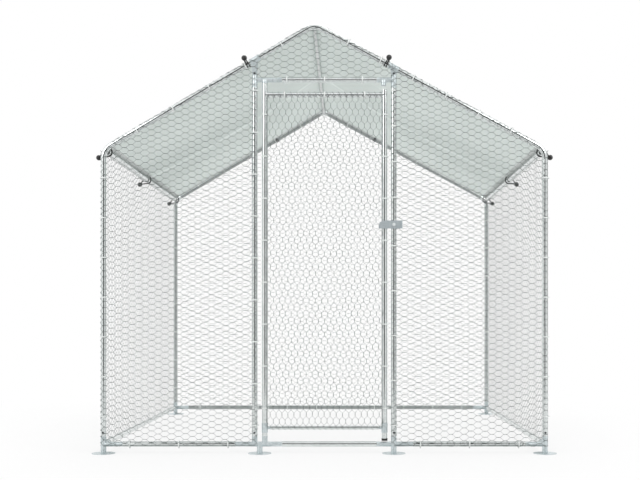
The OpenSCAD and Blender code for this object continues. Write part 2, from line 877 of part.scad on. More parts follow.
module door_net() {
    edge = sleeve_d / 2 + net_gap;
    front_left = [hinge_x + edge, door_bottom - door_bottom_d / 2];
    back_right = [latch_stile_x - edge, door_top + tube_r];
    place([0, -post_y - net_face, 0], [1, 0, 0], UP)
        net_panel(
            [
                front_left,
                [back_right[0], front_left[1]],
                back_right,
                [front_left[0], back_right[1]]
            ],
            true
        );
}

module latch_stile_cap() {
    color(rubber_black)
        translate([latch_stile_x, -post_y, latch_stile_from - cap_base]) {
            cylinder(d = tube_d, h = cap_base);
            cylinder(d = spigot_d, h = cap_base + cap_height);
        }
}

// Latch: a plate that turns on a bolt through the latch post, with a thumb lip at its tail
module latch_plate() {
    t = latch_plate_t;
    lip = latch_lip * [cos(latch_lip_angle), -sin(latch_lip_angle)];
    skin = t * [sin(latch_lip_angle), cos(latch_lip_angle)];
    half = latch_plate_h / 2;
    bend_in = t * tan(latch_lip_angle / 2);
    end = [latch_tail, 0];
    color(zinc)
        translate([latch_post_x, plate_back, latch_height])
            difference() {
                intersection() {
                    linear_extrude(height = latch_plate_h, center = true)
                        polygon([
                            [-latch_reach, 0],
                            [-latch_reach, -t],
                            [latch_tail - bend_in, -t],
                            end + lip - skin,
                            end + lip,
                            end
                        ]);
                    rotate([90, 0, 0])
                        linear_extrude(height = 4 * latch_lip, center = true)
                            polygon([
                                [-latch_reach, -half],
                                [latch_tail + latch_lip, -half],
                                [latch_tail + latch_lip, half],
                                [latch_corner - latch_reach, half],
                                [-latch_reach, half - latch_corner]
                            ]);
                }
                bar([0, t, 0], [0, -2 * t, 0], bolt_d + 2 * bolt_gap);
            }
}

module latch_bolt() {
    head_from = plate_front - net_gap;
    shank_to = -post_y + tube_r + net_gap + nut_t + bolt_d / 4;
    color(zinc_pale)
        translate([latch_post_x, 0, latch_height])
            rotate([-90, 0, 0]) {
                translate([0, 0, head_from - bolt_head_h])
                    cylinder(d = bolt_head_d, h = bolt_head_h);
                translate([0, 0, head_from - cut])
                    cylinder(d = bolt_d, h = shank_to - head_from + cut);
            }
}

module latch_washer() {
    color(zinc_pale)
        translate([latch_post_x, 0, latch_height])
            rotate([-90, 0, 0])
                translate([0, 0, plate_back + net_gap / 2])
                    difference() {
                        cylinder(d = washer_d, h = washer_t - net_gap);
                        translate([0, 0, -cut])
                            cylinder(d = bolt_d + 2 * bolt_gap, h = washer_t + 2 * cut);
                    }
}

module latch_nut() {
    color(zinc_pale)
        translate([latch_post_x, -post_y + tube_r + net_gap, latch_height])
            rotate([-90, 0, 0])
                difference() {
                    cylinder(d = nut_width / cos(30), h = nut_t, $fn = 6);
                    translate([0, 0, -cut])
                        cylinder(d = bolt_d + 2 * bolt_gap, h = nut_t + 2 * cut);
                }
}

corner_base(LEFT, FRONT);  // front_left_base
corner_base(RIGHT, FRONT);  // front_right_base
corner_base(LEFT, BACK);  // back_left_base
corner_base(RIGHT, BACK);  // back_right_base
hinge_post_base();
latch_post_base();
cross_rail(-post_x + rail_setback, hinge_post_x - rail_setback, -post_y);  // front_left_bottom_rail
cross_rail(threshold_from, threshold_to, -post_y);  // threshold_rail
cross_rail(latch_post_x + rail_setback, post_x - rail_setback, -post_y);  // front_right_bottom_rail
side_rail(LEFT);  // left_bottom_rail
side_rail(RIGHT);  // right_bottom_rail
cross_rail(-post_x + rail_setback, post_x - rail_setback, post_y);  // back_bottom_rail
corner_post(LEFT, FRONT);  // front_left_post
corner_post(RIGHT, FRONT);  // front_right_post
corner_post(LEFT, BACK);  // back_left_post
corner_post(RIGHT, BACK);  // back_right_post
hinge_post();
latch_post();
eave_elbow(LEFT, FRONT);  // front_left_eave_elbow
eave_elbow(RIGHT, FRONT);  // front_right_eave_elbow
eave_elbow(LEFT, BACK);  // back_left_eave_elbow
eave_elbow(RIGHT, BACK);  // back_right_eave_elbow
rafter(LEFT, FRONT);  // front_left_rafter
rafter(RIGHT, FRONT);  // front_right_rafter
rafter(LEFT, BACK);  // back_left_rafter
rafter(RIGHT, BACK);  // back_right_rafter
ridge_elbow(FRONT);  // front_ridge_elbow
ridge_elbow(BACK);  // back_ridge_elbow
hinge_head_connector();
latch_head_connector();
lintel();
eave_purlin_tube(LEFT);  // left_eave_purlin
eave_purlin_tube(RIGHT);  // right_eave_purlin
ridge_purlin();
side_net(LEFT);  // left_net
side_net(RIGHT);  // right_net
back_net();
front_left_net();
front_right_net();
gable_net();
roof_sheet();
roof_eyelets();
bungee_cords();
bungee_balls();
hinge_stile();
latch_stile();
door_top_rail();
door_bottom_rail();
door_corner_tees();
door_net();
latch_stile_cap();
latch_plate();
latch_bolt();
latch_washer();
latch_nut();
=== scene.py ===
import math

import bmesh
import bpy
from mathutils import Matrix, Vector, noise


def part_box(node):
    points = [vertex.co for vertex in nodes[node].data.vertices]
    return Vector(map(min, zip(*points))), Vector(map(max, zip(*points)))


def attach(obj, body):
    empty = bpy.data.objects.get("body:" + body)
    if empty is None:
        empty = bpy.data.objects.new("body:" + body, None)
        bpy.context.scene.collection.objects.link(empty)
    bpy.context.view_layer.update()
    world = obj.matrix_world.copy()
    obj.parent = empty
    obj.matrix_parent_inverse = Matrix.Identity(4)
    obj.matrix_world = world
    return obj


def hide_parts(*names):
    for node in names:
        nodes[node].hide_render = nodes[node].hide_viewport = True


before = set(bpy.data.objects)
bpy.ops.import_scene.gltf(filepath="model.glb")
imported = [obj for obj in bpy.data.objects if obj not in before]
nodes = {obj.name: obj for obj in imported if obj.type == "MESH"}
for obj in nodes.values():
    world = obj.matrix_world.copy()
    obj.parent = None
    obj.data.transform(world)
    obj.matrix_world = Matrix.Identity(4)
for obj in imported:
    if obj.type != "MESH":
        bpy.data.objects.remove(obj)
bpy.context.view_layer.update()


# The photograph's view
# A level camera at waist height looks straight along +Y at the door, a little right of the middle.
# Its height, shift and lens follow from where the posts stand and where lines running back meet.
IMAGE_WIDTH = 640
IMAGE_HEIGHT = 480
FRONT_SCALE = 220.75  # pixels to the metre in the plane of the front posts
LEFT_POST_PIXEL = 103.5
GROUND_PIXEL = 453.5
VANISHING_PIXEL = (347, 320)
CAMERA_DISTANCE = 4.76


def middle(node):
    """The middle of a part's box."""
    low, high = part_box(node)
    return (low + high) / 2


POST_X = middle("front_right_post").x
POST_Y = middle("back_right_post").y

camera = bpy.data.objects.new("camera", bpy.data.cameras.new("camera"))
bpy.context.scene.collection.objects.link(camera)
bpy.context.scene.camera = camera
camera.data.sensor_width = 36
camera.data.lens = FRONT_SCALE * CAMERA_DISTANCE * camera.data.sensor_width / IMAGE_WIDTH
camera.data.shift_x = 0.5 - VANISHING_PIXEL[0] / IMAGE_WIDTH
camera.data.shift_y = (VANISHING_PIXEL[1] - IMAGE_HEIGHT / 2) / IMAGE_WIDTH
camera.location = (
    -POST_X + (VANISHING_PIXEL[0] - LEFT_POST_PIXEL) / FRONT_SCALE,
    -POST_Y - CAMERA_DISTANCE,
    (GROUND_PIXEL - VANISHING_PIXEL[1]) / FRONT_SCALE,
)
camera.rotation_euler = (math.pi / 2, 0, 0)
camera.data.clip_end = 100


# Studio
# A white surround lights the run evenly from all sides, with two soft lamps in front and one above.
# A dark card in front of the run shows only as a dark line down the middle of each bright tube.
class Shade:
    """A socket of a node tree. Shades add, subtract and multiply as numbers do."""

    def __init__(self, tree, socket=None):
        self.tree = tree
        self.socket = socket

    def node(self, kind, settings=None, output=0, **inputs):
        """One output of a new node, whose settings come first and then its sockets."""
        made = self.tree.nodes.new(kind)
        for name, value in (settings or {}).items():
            setattr(made, name, value)
        for name, value in inputs.items():
            plug = next(
                s
                for s in made.inputs
                if s.enabled and name in (s.identifier, s.name.replace(" ", "_"))
            )
            if isinstance(value, Shade):
                self.tree.links.new(value.socket, plug)
            else:
                plug.default_value = value
        return Shade(self.tree, made.outputs[output] if made.outputs else None)

    def math(self, operation, first, second):
        return self.node("ShaderNodeMath", {"operation": operation}, Value=first, Value_001=second)

    def __add__(self, other):
        return self.math("ADD", self, other)

    __radd__ = __add__

    def __sub__(self, other):
        return self.math("SUBTRACT", self, other)

    def __rsub__(self, other):
        return self.math("SUBTRACT", other, self)

    def __mul__(self, other):
        return self.math("MULTIPLY", self, other)

    __rmul__ = __mul__

    def wave(self, period):
        """A sine of this with that period."""
        return self.node("ShaderNodeMath", {"operation": "SINE"}, Value=self * (math.tau / period))

    def above(self, edge, blur):
        """0 below the edge and 1 above it, over a blur."""
        return self.node(
            "ShaderNodeMapRange",
            {"interpolation_type": "SMOOTHSTEP"},
            Value=self,
            From_Min=edge - blur,
            From_Max=edge + blur,
        )

    def mix(self, colour, other):
        """One colour where this is 0 and another where it is 1."""
        return self.node(
            "ShaderNodeMix",
            {"data_type": "RGBA"},
            output=2,
            Factor_Float=self,
            A_Color=colour,
            B_Color=other,
        )

    def grain(self, scale, detail):
        """Noise fixed to the piece, with this many grains to the metre."""
        place = self.node("ShaderNodeTexCoord", output="Object")
        return self.node("ShaderNodeTexNoise", Vector=place, Scale=scale, Detail=detail)

    def skin(self, **inputs):
        """Covers the material with one shader of these values and links."""
        look = self.node("ShaderNodeBsdfPrincipled", **inputs)
        self.node("ShaderNodeOutputMaterial", Surface=look)


def grey(value):
    return (value, value, value, 1)


FLOOR_SIZE = 60.0
FLOOR_WHITE = 0.82
FLOOR_GLOW = 0.8  # share of the floor near the run that the camera sees as plain white
FLOOR_FADE = 2.2  # metres from the middle, where the rest turns white too
FLOOR_BLUR = 0.8
LIGHT_LEVEL = 0.66
SKY_SHARE = 0.35  # more light from above than from the horizon
SKY_RISE = (0.2, 0.8)  # where it grows, and over how far
MIRROR_LEVEL = 1.1  # what shiny surfaces see of the white surround
SIDE_DIM = 0.5  # less light from the far right
SIDE_EDGE = (0.86, 0.08)  # where it falls, and over how far
CARD_SIZE = (3.05, 2.6)
CARD_X = 0.075
CARD_AWAY = 3.5  # from the front of the run
CARD_BLACK = 0.004


def rays(shade, *kinds):
    """1 on rays of these kinds."""
    return sum(shade.node("ShaderNodeLightPath", output=f"Is {kind} Ray") for kind in kinds)


world = bpy.data.worlds.new("studio")
world.use_nodes = True
world.node_tree.nodes.clear()
bpy.context.scene.world = world
bpy.context.scene.view_settings.view_transform = "Standard"
around = Shade(world.node_tree)
direction = around.node("ShaderNodeTexCoord", output="Generated")
to_right = around.node("ShaderNodeSeparateXYZ", output="X", Vector=direction)
upwards = around.node("ShaderNodeSeparateXYZ", output="Z", Vector=direction)
lit = LIGHT_LEVEL * (1 + upwards.above(*SKY_RISE) * SKY_SHARE)
mirrored = MIRROR_LEVEL * (1 - to_right.above(*SIDE_EDGE) * SIDE_DIM)
glow = around.node("ShaderNodeBackground", Color=grey(1.0), Strength=lit)
mirror = around.node("ShaderNodeBackground", Color=grey(1.0), Strength=mirrored)
white = around.node("ShaderNodeBackground", Color=grey(1.0), Strength=1.0)
sky = around.node("ShaderNodeMixShader", Fac=rays(around, "Glossy"), Shader=glow, Shader_001=mirror)
sky = around.node(
    "ShaderNodeMixShader", Fac=rays(around, "Camera", "Transmission"), Shader=sky, Shader_001=white
)
around.node("ShaderNodeOutputWorld", Surface=sky)


def new_material(name):
    made = bpy.data.materials.new(name)
    made.use_nodes = True
    made.node_tree.nodes.clear()
    return made, Shade(made.node_tree)


floor_material, paint = new_material("studio_floor")
matt = paint.node("ShaderNodeBsdfDiffuse", Color=grey(FLOOR_WHITE))
plain = paint.node("ShaderNodeEmission", Color=grey(1.0), Strength=1.0)
away = paint.node(
    "ShaderNodeVectorMath",
    {"operation": "LENGTH"},
    "Value",
    Vector=paint.node("ShaderNodeTexCoord", output="Object"),
)
clear = FLOOR_GLOW + away.above(FLOOR_FADE, FLOOR_BLUR) * (1 - FLOOR_GLOW)
floor_look = paint.node(
    "ShaderNodeMixShader",
    Fac=rays(paint, "Camera", "Glossy", "Transmission") * clear,
    Shader=matt,
    Shader_001=plain,
)
paint.node("ShaderNodeOutputMaterial", Surface=floor_look)


def mesh_object(name, bm, *materials):
    """An object at the origin from a bmesh."""
    mesh = bpy.data.meshes.new(name)
    bm.to_mesh(mesh)
    bm.free()
    for material in materials:
        mesh.materials.append(material)
    made = bpy.data.objects.new(name, mesh)
    bpy.context.scene.collection.objects.link(made)
    return made


bm = bmesh.new()
bmesh.ops.create_grid(bm, x_segments=1, y_segments=1, size=FLOOR_SIZE / 2)
mesh_object("studio_floor", bm, floor_material)

card_material, black = new_material("dark_card")
card_look = black.node("ShaderNodeBsdfDiffuse", Color=grey(CARD_BLACK))
black.node("ShaderNodeOutputMaterial", Surface=card_look)
bm = bmesh.new()
upright = Matrix.Translation((CARD_X, -POST_Y - CARD_AWAY, CARD_SIZE[1] / 2))
upright = upright @ Matrix.Rotation(math.pi / 2, 4, "X") @ Matrix.Diagonal((*CARD_SIZE, 1, 1))
bmesh.ops.create_grid(bm, x_segments=1, y_segments=1, size=0.5, matrix=upright)
dark_card = mesh_object("dark_card", bm, card_material)
for seen_by in ("camera", "diffuse", "transmission", "shadow"):
    setattr(dark_card, f"visible_{seen_by}", False)

LAMP_AIM = Vector((0, 0, 0.9))
LAMPS = {  # place, width and power
    "key_lamp": ((3.6, -4.2, 4.2), 2.6, 110),
    "fill_lamp": ((-3.6, -4.4, 3.4), 2.6, 70),
    "top_lamp": ((0, 1.5, 5.2), 3.0, 80),
}
for lamp_name, (lamp_place, width, power) in LAMPS.items():
    lamp = bpy.data.objects.new(lamp_name, bpy.data.lights.new(lamp_name, "AREA"))
    lamp.data.shape = "DISK"
    lamp.data.size = width
    lamp.data.energy = power
    lamp.location = lamp_place
    lamp.rotation_euler = (LAMP_AIM - Vector(lamp_place)).to_track_quat("-Z", "Y").to_euler()
    bpy.context.scene.collection.objects.link(lamp)


# Frame of galvanised tube
# Posts, rails, rafters and purlins are thin steel tube, zinc coated, so they are bright and
# smooth with a faint spangle and duller clouds. They are pushed together on spigots.
ZINC_BRIGHT = (0.76, 0.79, 0.785, 1)
ZINC_DULL = (0.60, 0.635, 0.63, 1)
SPANGLE = 0.006  # metres
SPANGLE_SHARE = 0.35  # of the wear that follows the spangle, not the clouds
CLOUD = 0.09
SCUFFS_TO_CLOUD = 7
SCUFF_DEPTH = 0.0004
DULL_BLUR = 0.32


def zinc(name, bright, dull, roughness, metallic=0.92):
    """Galvanised steel: spangle and clouds of bright and dull zinc, with fine scuffs."""
    made, steel = new_material(name)
    place = steel.node("ShaderNodeTexCoord", output="Object")
    spangle = steel.node("ShaderNodeTexVoronoi", output="Color", Vector=place, Scale=1 / SPANGLE)
    flake = steel.node("ShaderNodeSeparateColor", Color=spangle)
    cloud = steel.grain(1 / CLOUD, detail=4.0)
    scuff = steel.grain(SCUFFS_TO_CLOUD / CLOUD, detail=3.0)
    wear = flake * SPANGLE_SHARE + cloud * (1 - SPANGLE_SHARE)
    steel.skin(
        Base_Color=wear.above(0.5, DULL_BLUR).mix(bright, dull),
        Metallic=metallic,
        Roughness=roughness + (wear - 0.5) * 0.16 + (scuff - 0.5) * 0.08,
        Normal=steel.node("ShaderNodeBump", Strength=0.08, Distance=SCUFF_DEPTH, Height=scuff),
    )
    return made


def finish(material, *names):
    """Gives parts of the frame a finish."""
    for name in names:
        nodes[name].data.materials.clear()
        nodes[name].data.materials.append(material)


tube_zinc = zinc("galvanised_tube", ZINC_BRIGHT, ZINC_DULL, roughness=0.16)
TUBE_ENDINGS = ("_rail", "_post", "_rafter", "_purlin", "_stile", "_elbow")
finish(tube_zinc, "lintel", *[name for name in nodes if name.endswith(TUBE_ENDINGS)])


# Tubes with painted shade
# The ridge purlin and the tubes of the back are the same steel. Their darker zinc is painted shade,
# for the shade under the sheet and along the back wall, darkest on the back rafters and back rail.
SHADED_BRIGHT = (0.59, 0.62, 0.615, 1)
SHADED_DULL = (0.46, 0.49, 0.485, 1)
DEEP_SHADE_BRIGHT = (0.43, 0.455, 0.45, 1)
DEEP_SHADE_DULL = (0.32, 0.345, 0.34, 1)
shaded_zinc = zinc("shaded_tube", SHADED_BRIGHT, SHADED_DULL, roughness=0.22)
finish(shaded_zinc, "back_left_post", "back_right_post", "ridge_purlin")
# The darkest painted shade, on the back rafters and the back rail.
deep_shade_zinc = zinc("sheltered_tube", DEEP_SHADE_BRIGHT, DEEP_SHADE_DULL, roughness=0.3)
finish(deep_shade_zinc, "back_left_rafter", "back_right_rafter", "back_bottom_rail")


# Cast and welded fittings
# The foot bases, the head connectors of the door posts and the door's corner tees are hot-dip
# galvanised after welding, so they are paler, bluer and rougher than the tubes.
FITTING_BRIGHT = (0.66, 0.72, 0.735, 1)
FITTING_DULL = (0.47, 0.525, 0.535, 1)

fitting_zinc = zinc(
    "galvanised_fitting", FITTING_BRIGHT, FITTING_DULL, roughness=0.42, metallic=0.8
)
finish(fitting_zinc, *[name for name in nodes if name.endswith(("_base", "_connector", "_tees"))])


# Netting
# Hexagonal wire netting, dipped in zinc after weaving: each wire runs the whole width of the roll
# and is twisted in turn with the wires above and below it. It lies on the outside of the tubes.
NET_PERIOD = 0.0607  # along the wires, two columns of gaps
NET_ROW = 0.0272
TWIST_HALF = 0.0088
TWIST_R = 0.00035  # of the wires round each other, with zinc between them
WIRE_R = 0.0009
FINE_WIRE_R = 0.00055  # of the sides
BACK_WIRE_R = 0.0007
WIRE_SIDES = 3
WIRE_GAIN = 1.15  # the three corners lie this much further out than a round wire
MERGE = WIRE_R / 50
NET_SLACK = 0.006  # how far the gaps stray from their pattern
STRAYS = 7  # to the metre
STRAY_SEED = 5
noise.seed_set(STRAY_SEED)  # so that the gaps stray in the same way each time
TUBE_R = (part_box("front_left_post")[1].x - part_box("front_left_post")[0].x) / 2
NET_OUT = TUBE_R + 0.0016  # from a tube's axis to the middle of the netting
TURN_STEPS = 4
NET_TONES = {
    "wire_netting": ((0.105, 0.125, 0.12, 1), 0.48),
    "wire_netting_bright": ((0.165, 0.19, 0.185, 1), 0.40),
    "wire_netting_dull": ((0.07, 0.085, 0.08, 1), 0.58),
}
TONE_SIZE = 0.045  # of the patches of bright and dull zinc
TONE_EDGE = 0.22
net_zincs = []
for tone_name, (wire_colour, wire_roughness) in NET_TONES.items():
    tone, wire = new_material(tone_name)
    wire.skin(Base_Color=wire_colour, Metallic=0.4, Roughness=wire_roughness)
    net_zincs.append(tone)


def spread_tones(bm, brighter=0.0):
    """Gives each stretch of wire the bright, the plain or the dull zinc, in patches."""
    for face in bm.faces:
        patch = noise.noise(face.verts[0].co / TONE_SIZE) + brighter
        face.material_index = 1 if patch > TONE_EDGE else 2 if patch < -TONE_EDGE else 0


def new_items(result, kind=bmesh.types.BMVert):
    """What an operator made: its vertices, or its items of another kind."""
    return [item for item in result["geom"] if isinstance(item, kind)]


def face_out(bm):
    bmesh.ops.recalc_face_normals(bm, faces=bm.faces[:])


def wire_path():
    """One period of a wire: a turn round the wire below it, up, and a turn round the wire above."""
    turns = [math.tau * step / TURN_STEPS for step in range(TURN_STEPS + 1)]
    low = [
        Vector((TWIST_HALF * (t / math.pi - 1), TWIST_R * math.cos(t), TWIST_R * math.sin(t)))
        for t in turns
    ]
    rise = Vector((NET_PERIOD / 2, NET_ROW / 2, 0))
    high = [Vector((p.x, -p.y, -p.z)) + rise for p in low]
    return low + high + [low[0] + Vector((NET_PERIOD, 0, 0))]


def repeat(bm, count, step):
    """Copies all that the mesh holds, count times in all."""
    first = bm.verts[:] + bm.edges[:] + bm.faces[:]
    for copy in range(1, count):
        made = bmesh.ops.duplicate(bm, geom=first)
        bmesh.ops.translate(bm, verts=new_items(made), vec=step * copy)


def netting(outline, upright=False, wire_r=WIRE_R):
    """Flat netting cut to an outline, anticlockwise in its own plane, with its wires along the
    first axis, or along the second if it stands upright."""
    bm = bmesh.new()
    ring = bmesh.ops.create_circle(
        bm,
        segments=WIRE_SIDES,
        radius=wire_r * WIRE_GAIN,
        matrix=Matrix.Rotation(math.pi / 2, 4, "Y"),
    )
    path = wire_path()
    bmesh.ops.translate(bm, verts=ring["verts"], vec=path[0])
    edges = bm.edges[:]
    for before, after in zip(path, path[1:]):
        made = bmesh.ops.extrude_edge_only(bm, edges=edges)
        bmesh.ops.translate(bm, verts=new_items(made), vec=after - before)
        edges = new_items(made, bmesh.types.BMEdge)
    face_out(bm)
    other = bmesh.ops.duplicate(bm, geom=bm.verts[:] + bm.edges[:] + bm.faces[:])
    bmesh.ops.rotate(bm, verts=new_items(other), matrix=Matrix.Rotation(math.pi, 3, "X"))
    flat = [Vector((p[1], p[0])) if upright else Vector(p) for p in outline]
    low = Vector((min(p.x for p in flat), min(p.y for p in flat)))
    high = Vector((max(p.x for p in flat), max(p.y for p in flat)))
    repeat(bm, math.ceil((high.x - low.x) / NET_PERIOD) + 2, Vector((NET_PERIOD, 0, 0)))
    bmesh.ops.remove_doubles(bm, verts=bm.verts[:], dist=MERGE)
    repeat(bm, math.ceil((high.y - low.y) / NET_ROW) + 1, Vector((0, NET_ROW, 0)))
    bmesh.ops.translate(bm, verts=bm.verts[:], vec=(low.x - NET_PERIOD / 2, low.y, 0))
    if upright:
        flat.reverse()
    for a, b in zip(flat, flat[1:] + flat[:1]):
        bmesh.ops.bisect_plane(
            bm,
            geom=bm.verts[:] + bm.edges[:] + bm.faces[:],
            dist=MERGE / 2,
            plane_co=a.to_3d(),
            plane_no=(b.y - a.y, a.x - b.x, 0),
            clear_outer=True,
        )
    bmesh.ops.holes_fill(bm, edges=[e for e in bm.edges if e.is_boundary], sides=0)
    if upright:
        swap = Matrix(((0, 1, 0), (1, 0, 0), (0, 0, -1)))
        bmesh.ops.transform(bm, matrix=swap.to_4x4(), verts=bm.verts[:])
    return bm


def round_corner(along, corner, way):
    """Carries netting that runs past the axis of a post round the outside of the post."""
    past = (along - corner) * way
    if past <= 0:
        return along, 0.0
    angle = min(past / NET_OUT, math.pi / 2)
    return corner + way * NET_OUT * math.sin(angle), NET_OUT * (math.cos(angle) - 1)


EAVE_Z = 1.377  # where the axes of a corner post and a rafter cross
RIDGE_X = -0.045
RIDGE_Z = 1.943
HINGE_POST_X = middle("hinge_post").x
LATCH_POST_X = middle("latch_post").x
RAIL_Z = middle("back_bottom_rail").z
LINTEL_Z = middle("lintel").z
NET_FOOT = RAIL_Z - TUBE_R / 2
QUARTER_TURN = NET_OUT * math.pi / 2


def rafter_z(x):
    side = -1 if x < RIDGE_X else 1
    reach = POST_X - side * RIDGE_X
    return EAVE_Z + (POST_X - side * x) * (RIDGE_Z - EAVE_Z) / reach


def wall(name, bm, place, body="frame", stands_for=None):
    """Sets flat netting on a wall: place gives a point's spot from its two sizes and its depth."""
    stands_for = stands_for or name.removesuffix("_wires")
    for vert in bm.verts:
        x, z, out = vert.co
        stray = noise.noise_vector(Vector((x * STRAYS, z * STRAYS, len(stands_for)))) * NET_SLACK
        vert.co = place(x + stray.x, z + stray.y, out)
    bm.normal_update()
    spread_tones(bm)
    made = mesh_object(name, bm, *net_zincs)
    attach(made, body)
    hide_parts(stands_for)


RAFTER_LAP = 0.018  # of the netting past the axis of a rafter
ELBOW_REACH = 0.06  # from the crossing of the axes at an eave
ELBOW_DROP = 0.036  # from there to the netting's corner on the post
RIDGE_REACH = 0.057  # from the crossing at the ridge


def out_of_rafter(x):
    """The direction out of the rafter over x, in the plane of its gable."""
    side = -1 if x < RIDGE_X else 1
    return Vector((side * (RIDGE_Z - EAVE_Z), POST_X - side * RIDGE_X)).normalized()


def lap_at(x, way=1):
    """A corner of the netting's cut edge over x, or of the back's, which is drawn from behind."""
    return x, rafter_z(x * way) + RAFTER_LAP / out_of_rafter(x * way).y


def over_edges(x, z):
    """A gable's netting carried round its two corner posts and over its rafters: where it goes, and
    how far forward of the plain."""
    x, round_left = round_corner(x, -POST_X, -1)
    x, round_right = round_corner(x, POST_X, 1)
    out = out_of_rafter(x)
    past = (z - rafter_z(x)) * out.y
    lifted, over = round_corner(past, 0, 1)
    shift = out * (lifted - past)
    return x + shift.x, z + shift.y, round_left + round_right + over


latch_low, latch_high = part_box("latch_plate")
LATCH_Z = (latch_low.z + latch_high.z) / 2
LATCH_SPARE = 0.006
LATCH_SWEEP = LATCH_POST_X - latch_low.x + LATCH_SPARE  # reach of the turning plate
LATCH_FADE = 0.025
LATCH_PRESS = 0.0012
LATCH_CLEAR = 0.0004


def front_place(x, z, out):
    """The front's netting, pressed flat wherever the plate of the latch turns over it."""
    x, z, forward = over_edges(x, z)
    y = -POST_Y - NET_OUT - out - forward
    far = (math.hypot(x - LATCH_POST_X, z - LATCH_Z) - LATCH_SWEEP) / LATCH_FADE
    near = 1 - min(max(far, 0.0), 1.0)
    y = max(y + near * LATCH_PRESS, latch_high.y + LATCH_CLEAR - (1 - near) * 2 * NET_OUT)
    return Vector((x, y, z))


def back_place(x, z, out):
    x, z, forward = over_edges(-x, z)
    return Vector((x, POST_Y + NET_OUT + out + forward, z))


def side_place(side):
    return lambda y, z, out: Vector((side * (POST_X + NET_OUT + out), side * y, z))


CORNER = POST_X + QUARTER_TURN
ELBOW = POST_X - ELBOW_REACH
ELBOW_Z = EAVE_Z - ELBOW_DROP
left_edge = HINGE_POST_X + TUBE_R
right_edge = LATCH_POST_X - TUBE_R
GABLE_FOOT = LINTEL_Z + TUBE_R
FRONT_NETS = {
    "front_left_net_wires": [
        (-CORNER, NET_FOOT),
        (left_edge, NET_FOOT),
        lap_at(left_edge),
        lap_at(-ELBOW),
        (-CORNER, ELBOW_Z),
    ],
    "front_right_net_wires": [
        (right_edge, NET_FOOT),
        (CORNER, NET_FOOT),
        (CORNER, ELBOW_Z),
        lap_at(ELBOW),
        lap_at(right_edge),
    ],
    "gable_net_wires": [
        (left_edge, GABLE_FOOT),
        (right_edge, GABLE_FOOT),
        lap_at(right_edge),
        lap_at(RIDGE_X + RIDGE_REACH),
        lap_at(RIDGE_X - RIDGE_REACH),
        lap_at(left_edge),
    ],
}
for name, outline in FRONT_NETS.items():
    wall(name, netting(outline), front_place)
eave_axes = {-1: middle("left_eave_purlin"), 1: middle("right_eave_purlin")}
SIDE_TOP = eave_axes[-1].z
for name, side in (("left", -1), ("right", 1)):
    wall(
        f"{name}_net_wires",
        netting(
            [(-POST_Y, NET_FOOT), (POST_Y, NET_FOOT), (POST_Y, SIDE_TOP), (-POST_Y, SIDE_TOP)],
            wire_r=FINE_WIRE_R,
        ),
        side_place(side),
    )
BACK_SEAM = NET_FOOT + 40 * NET_ROW  # where two widths of netting meet
wall(
    "back_net_wires",
    netting(
        [(-CORNER, NET_FOOT), (CORNER, NET_FOOT), (CORNER, BACK_SEAM), (-CORNER, BACK_SEAM)],
        wire_r=BACK_WIRE_R,
    ),
    back_place,
)
upper = netting(
    [
        (-CORNER, BACK_SEAM),
        (CORNER, BACK_SEAM),
        (CORNER, ELBOW_Z),
        lap_at(ELBOW, -1),
        lap_at(RIDGE_REACH - RIDGE_X, -1),
        lap_at(-RIDGE_REACH - RIDGE_X, -1),
        lap_at(-ELBOW, -1),
        (-CORNER, ELBOW_Z),
    ],
    wire_r=BACK_WIRE_R,
)
wall("back_gable_net_wires", upper, back_place, stands_for="back_net")


# Door netting
# The door has the same galvanised netting turned upright, so that its edge wires run along the
# stiles. It lies on the outside of the door's tubes.
DOOR_TOP_Z = middle("door_top_rail").z
DOOR_BOTTOM_Z = middle("door_bottom_rail").z
HINGE_X = middle("hinge_stile").x
LATCH_STILE_X = middle("latch_stile").x
door_left = HINGE_X + TUBE_R
door_right = LATCH_STILE_X - TUBE_R
wall(
    "door_net_wires",
    netting(
        [
            (door_left, DOOR_BOTTOM_Z),
            (door_right, DOOR_BOTTOM_Z),
            (door_right, DOOR_TOP_Z),
            (door_left, DOOR_TOP_Z),
        ],
        upright=True,
    ),
    front_place,
    "door",
)


# Netting edges
# The cut ends of the wires are wound round the tubes beside them, so that a fine coil runs along
# the door posts, the rafters and the door's rails. Straight edge wires close the other sides.
COIL_WIRE_R = 0.0007
COIL_STEPS = 10
COIL_CLEAR = 0.0006
EDGE_WIRE_R = 0.0011
EDGE_BRIGHTER = 0.25  # than the netting, from being bent


def edges_of(verts):
    return list({edge for vert in verts for edge in vert.link_edges})


def coil(bm, start, end, radius, out, pitch):
    """A wire wound round a tube and the netting that lies on its side towards out."""
    along = end - start
    out = (out - out.project(along)).normalized()
    axis = along.normalized()
    turns = round(along.length / pitch)
    steps = turns * COIL_STEPS
    shift = out * (NET_OUT + WIRE_R * 2 + COIL_WIRE_R - radius)
    place = Matrix((out, axis, out.cross(axis))).transposed().to_4x4()
    place.translation = start + shift + out * radius
    ring = bmesh.ops.create_circle(bm, segments=WIRE_SIDES, radius=COIL_WIRE_R, matrix=place)
    bmesh.ops.spin(
        bm,
        geom=ring["verts"] + edges_of(ring["verts"]),
        cent=start + shift,
        axis=axis,
        dvec=along / steps,
        angle=math.tau * turns,
        steps=steps,
    )


def rod(bm, place, depth, radius, end_radius, segments):
    """A closed round rod, or a taper, along the third axis of its place."""
    made = bmesh.ops.create_cone(
        bm,
        cap_ends=True,
        segments=segments,
        radius1=radius,
        radius2=end_radius,
        depth=depth,
        matrix=place,
    )
    return made["verts"]


def straight_wire(bm, start, end):
    along = end - start
    place = along.to_track_quat("Z", "Y").to_matrix().to_4x4()
    place.translation = (start + end) / 2
    rod(bm, place, along.length, EDGE_WIRE_R, EDGE_WIRE_R, 6)


def edge_piece(name, bm, body):
    face_out(bm)
    spread_tones(bm, EDGE_BRIGHTER)
    made = mesh_object(name, bm, *net_zincs)
    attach(made, body)


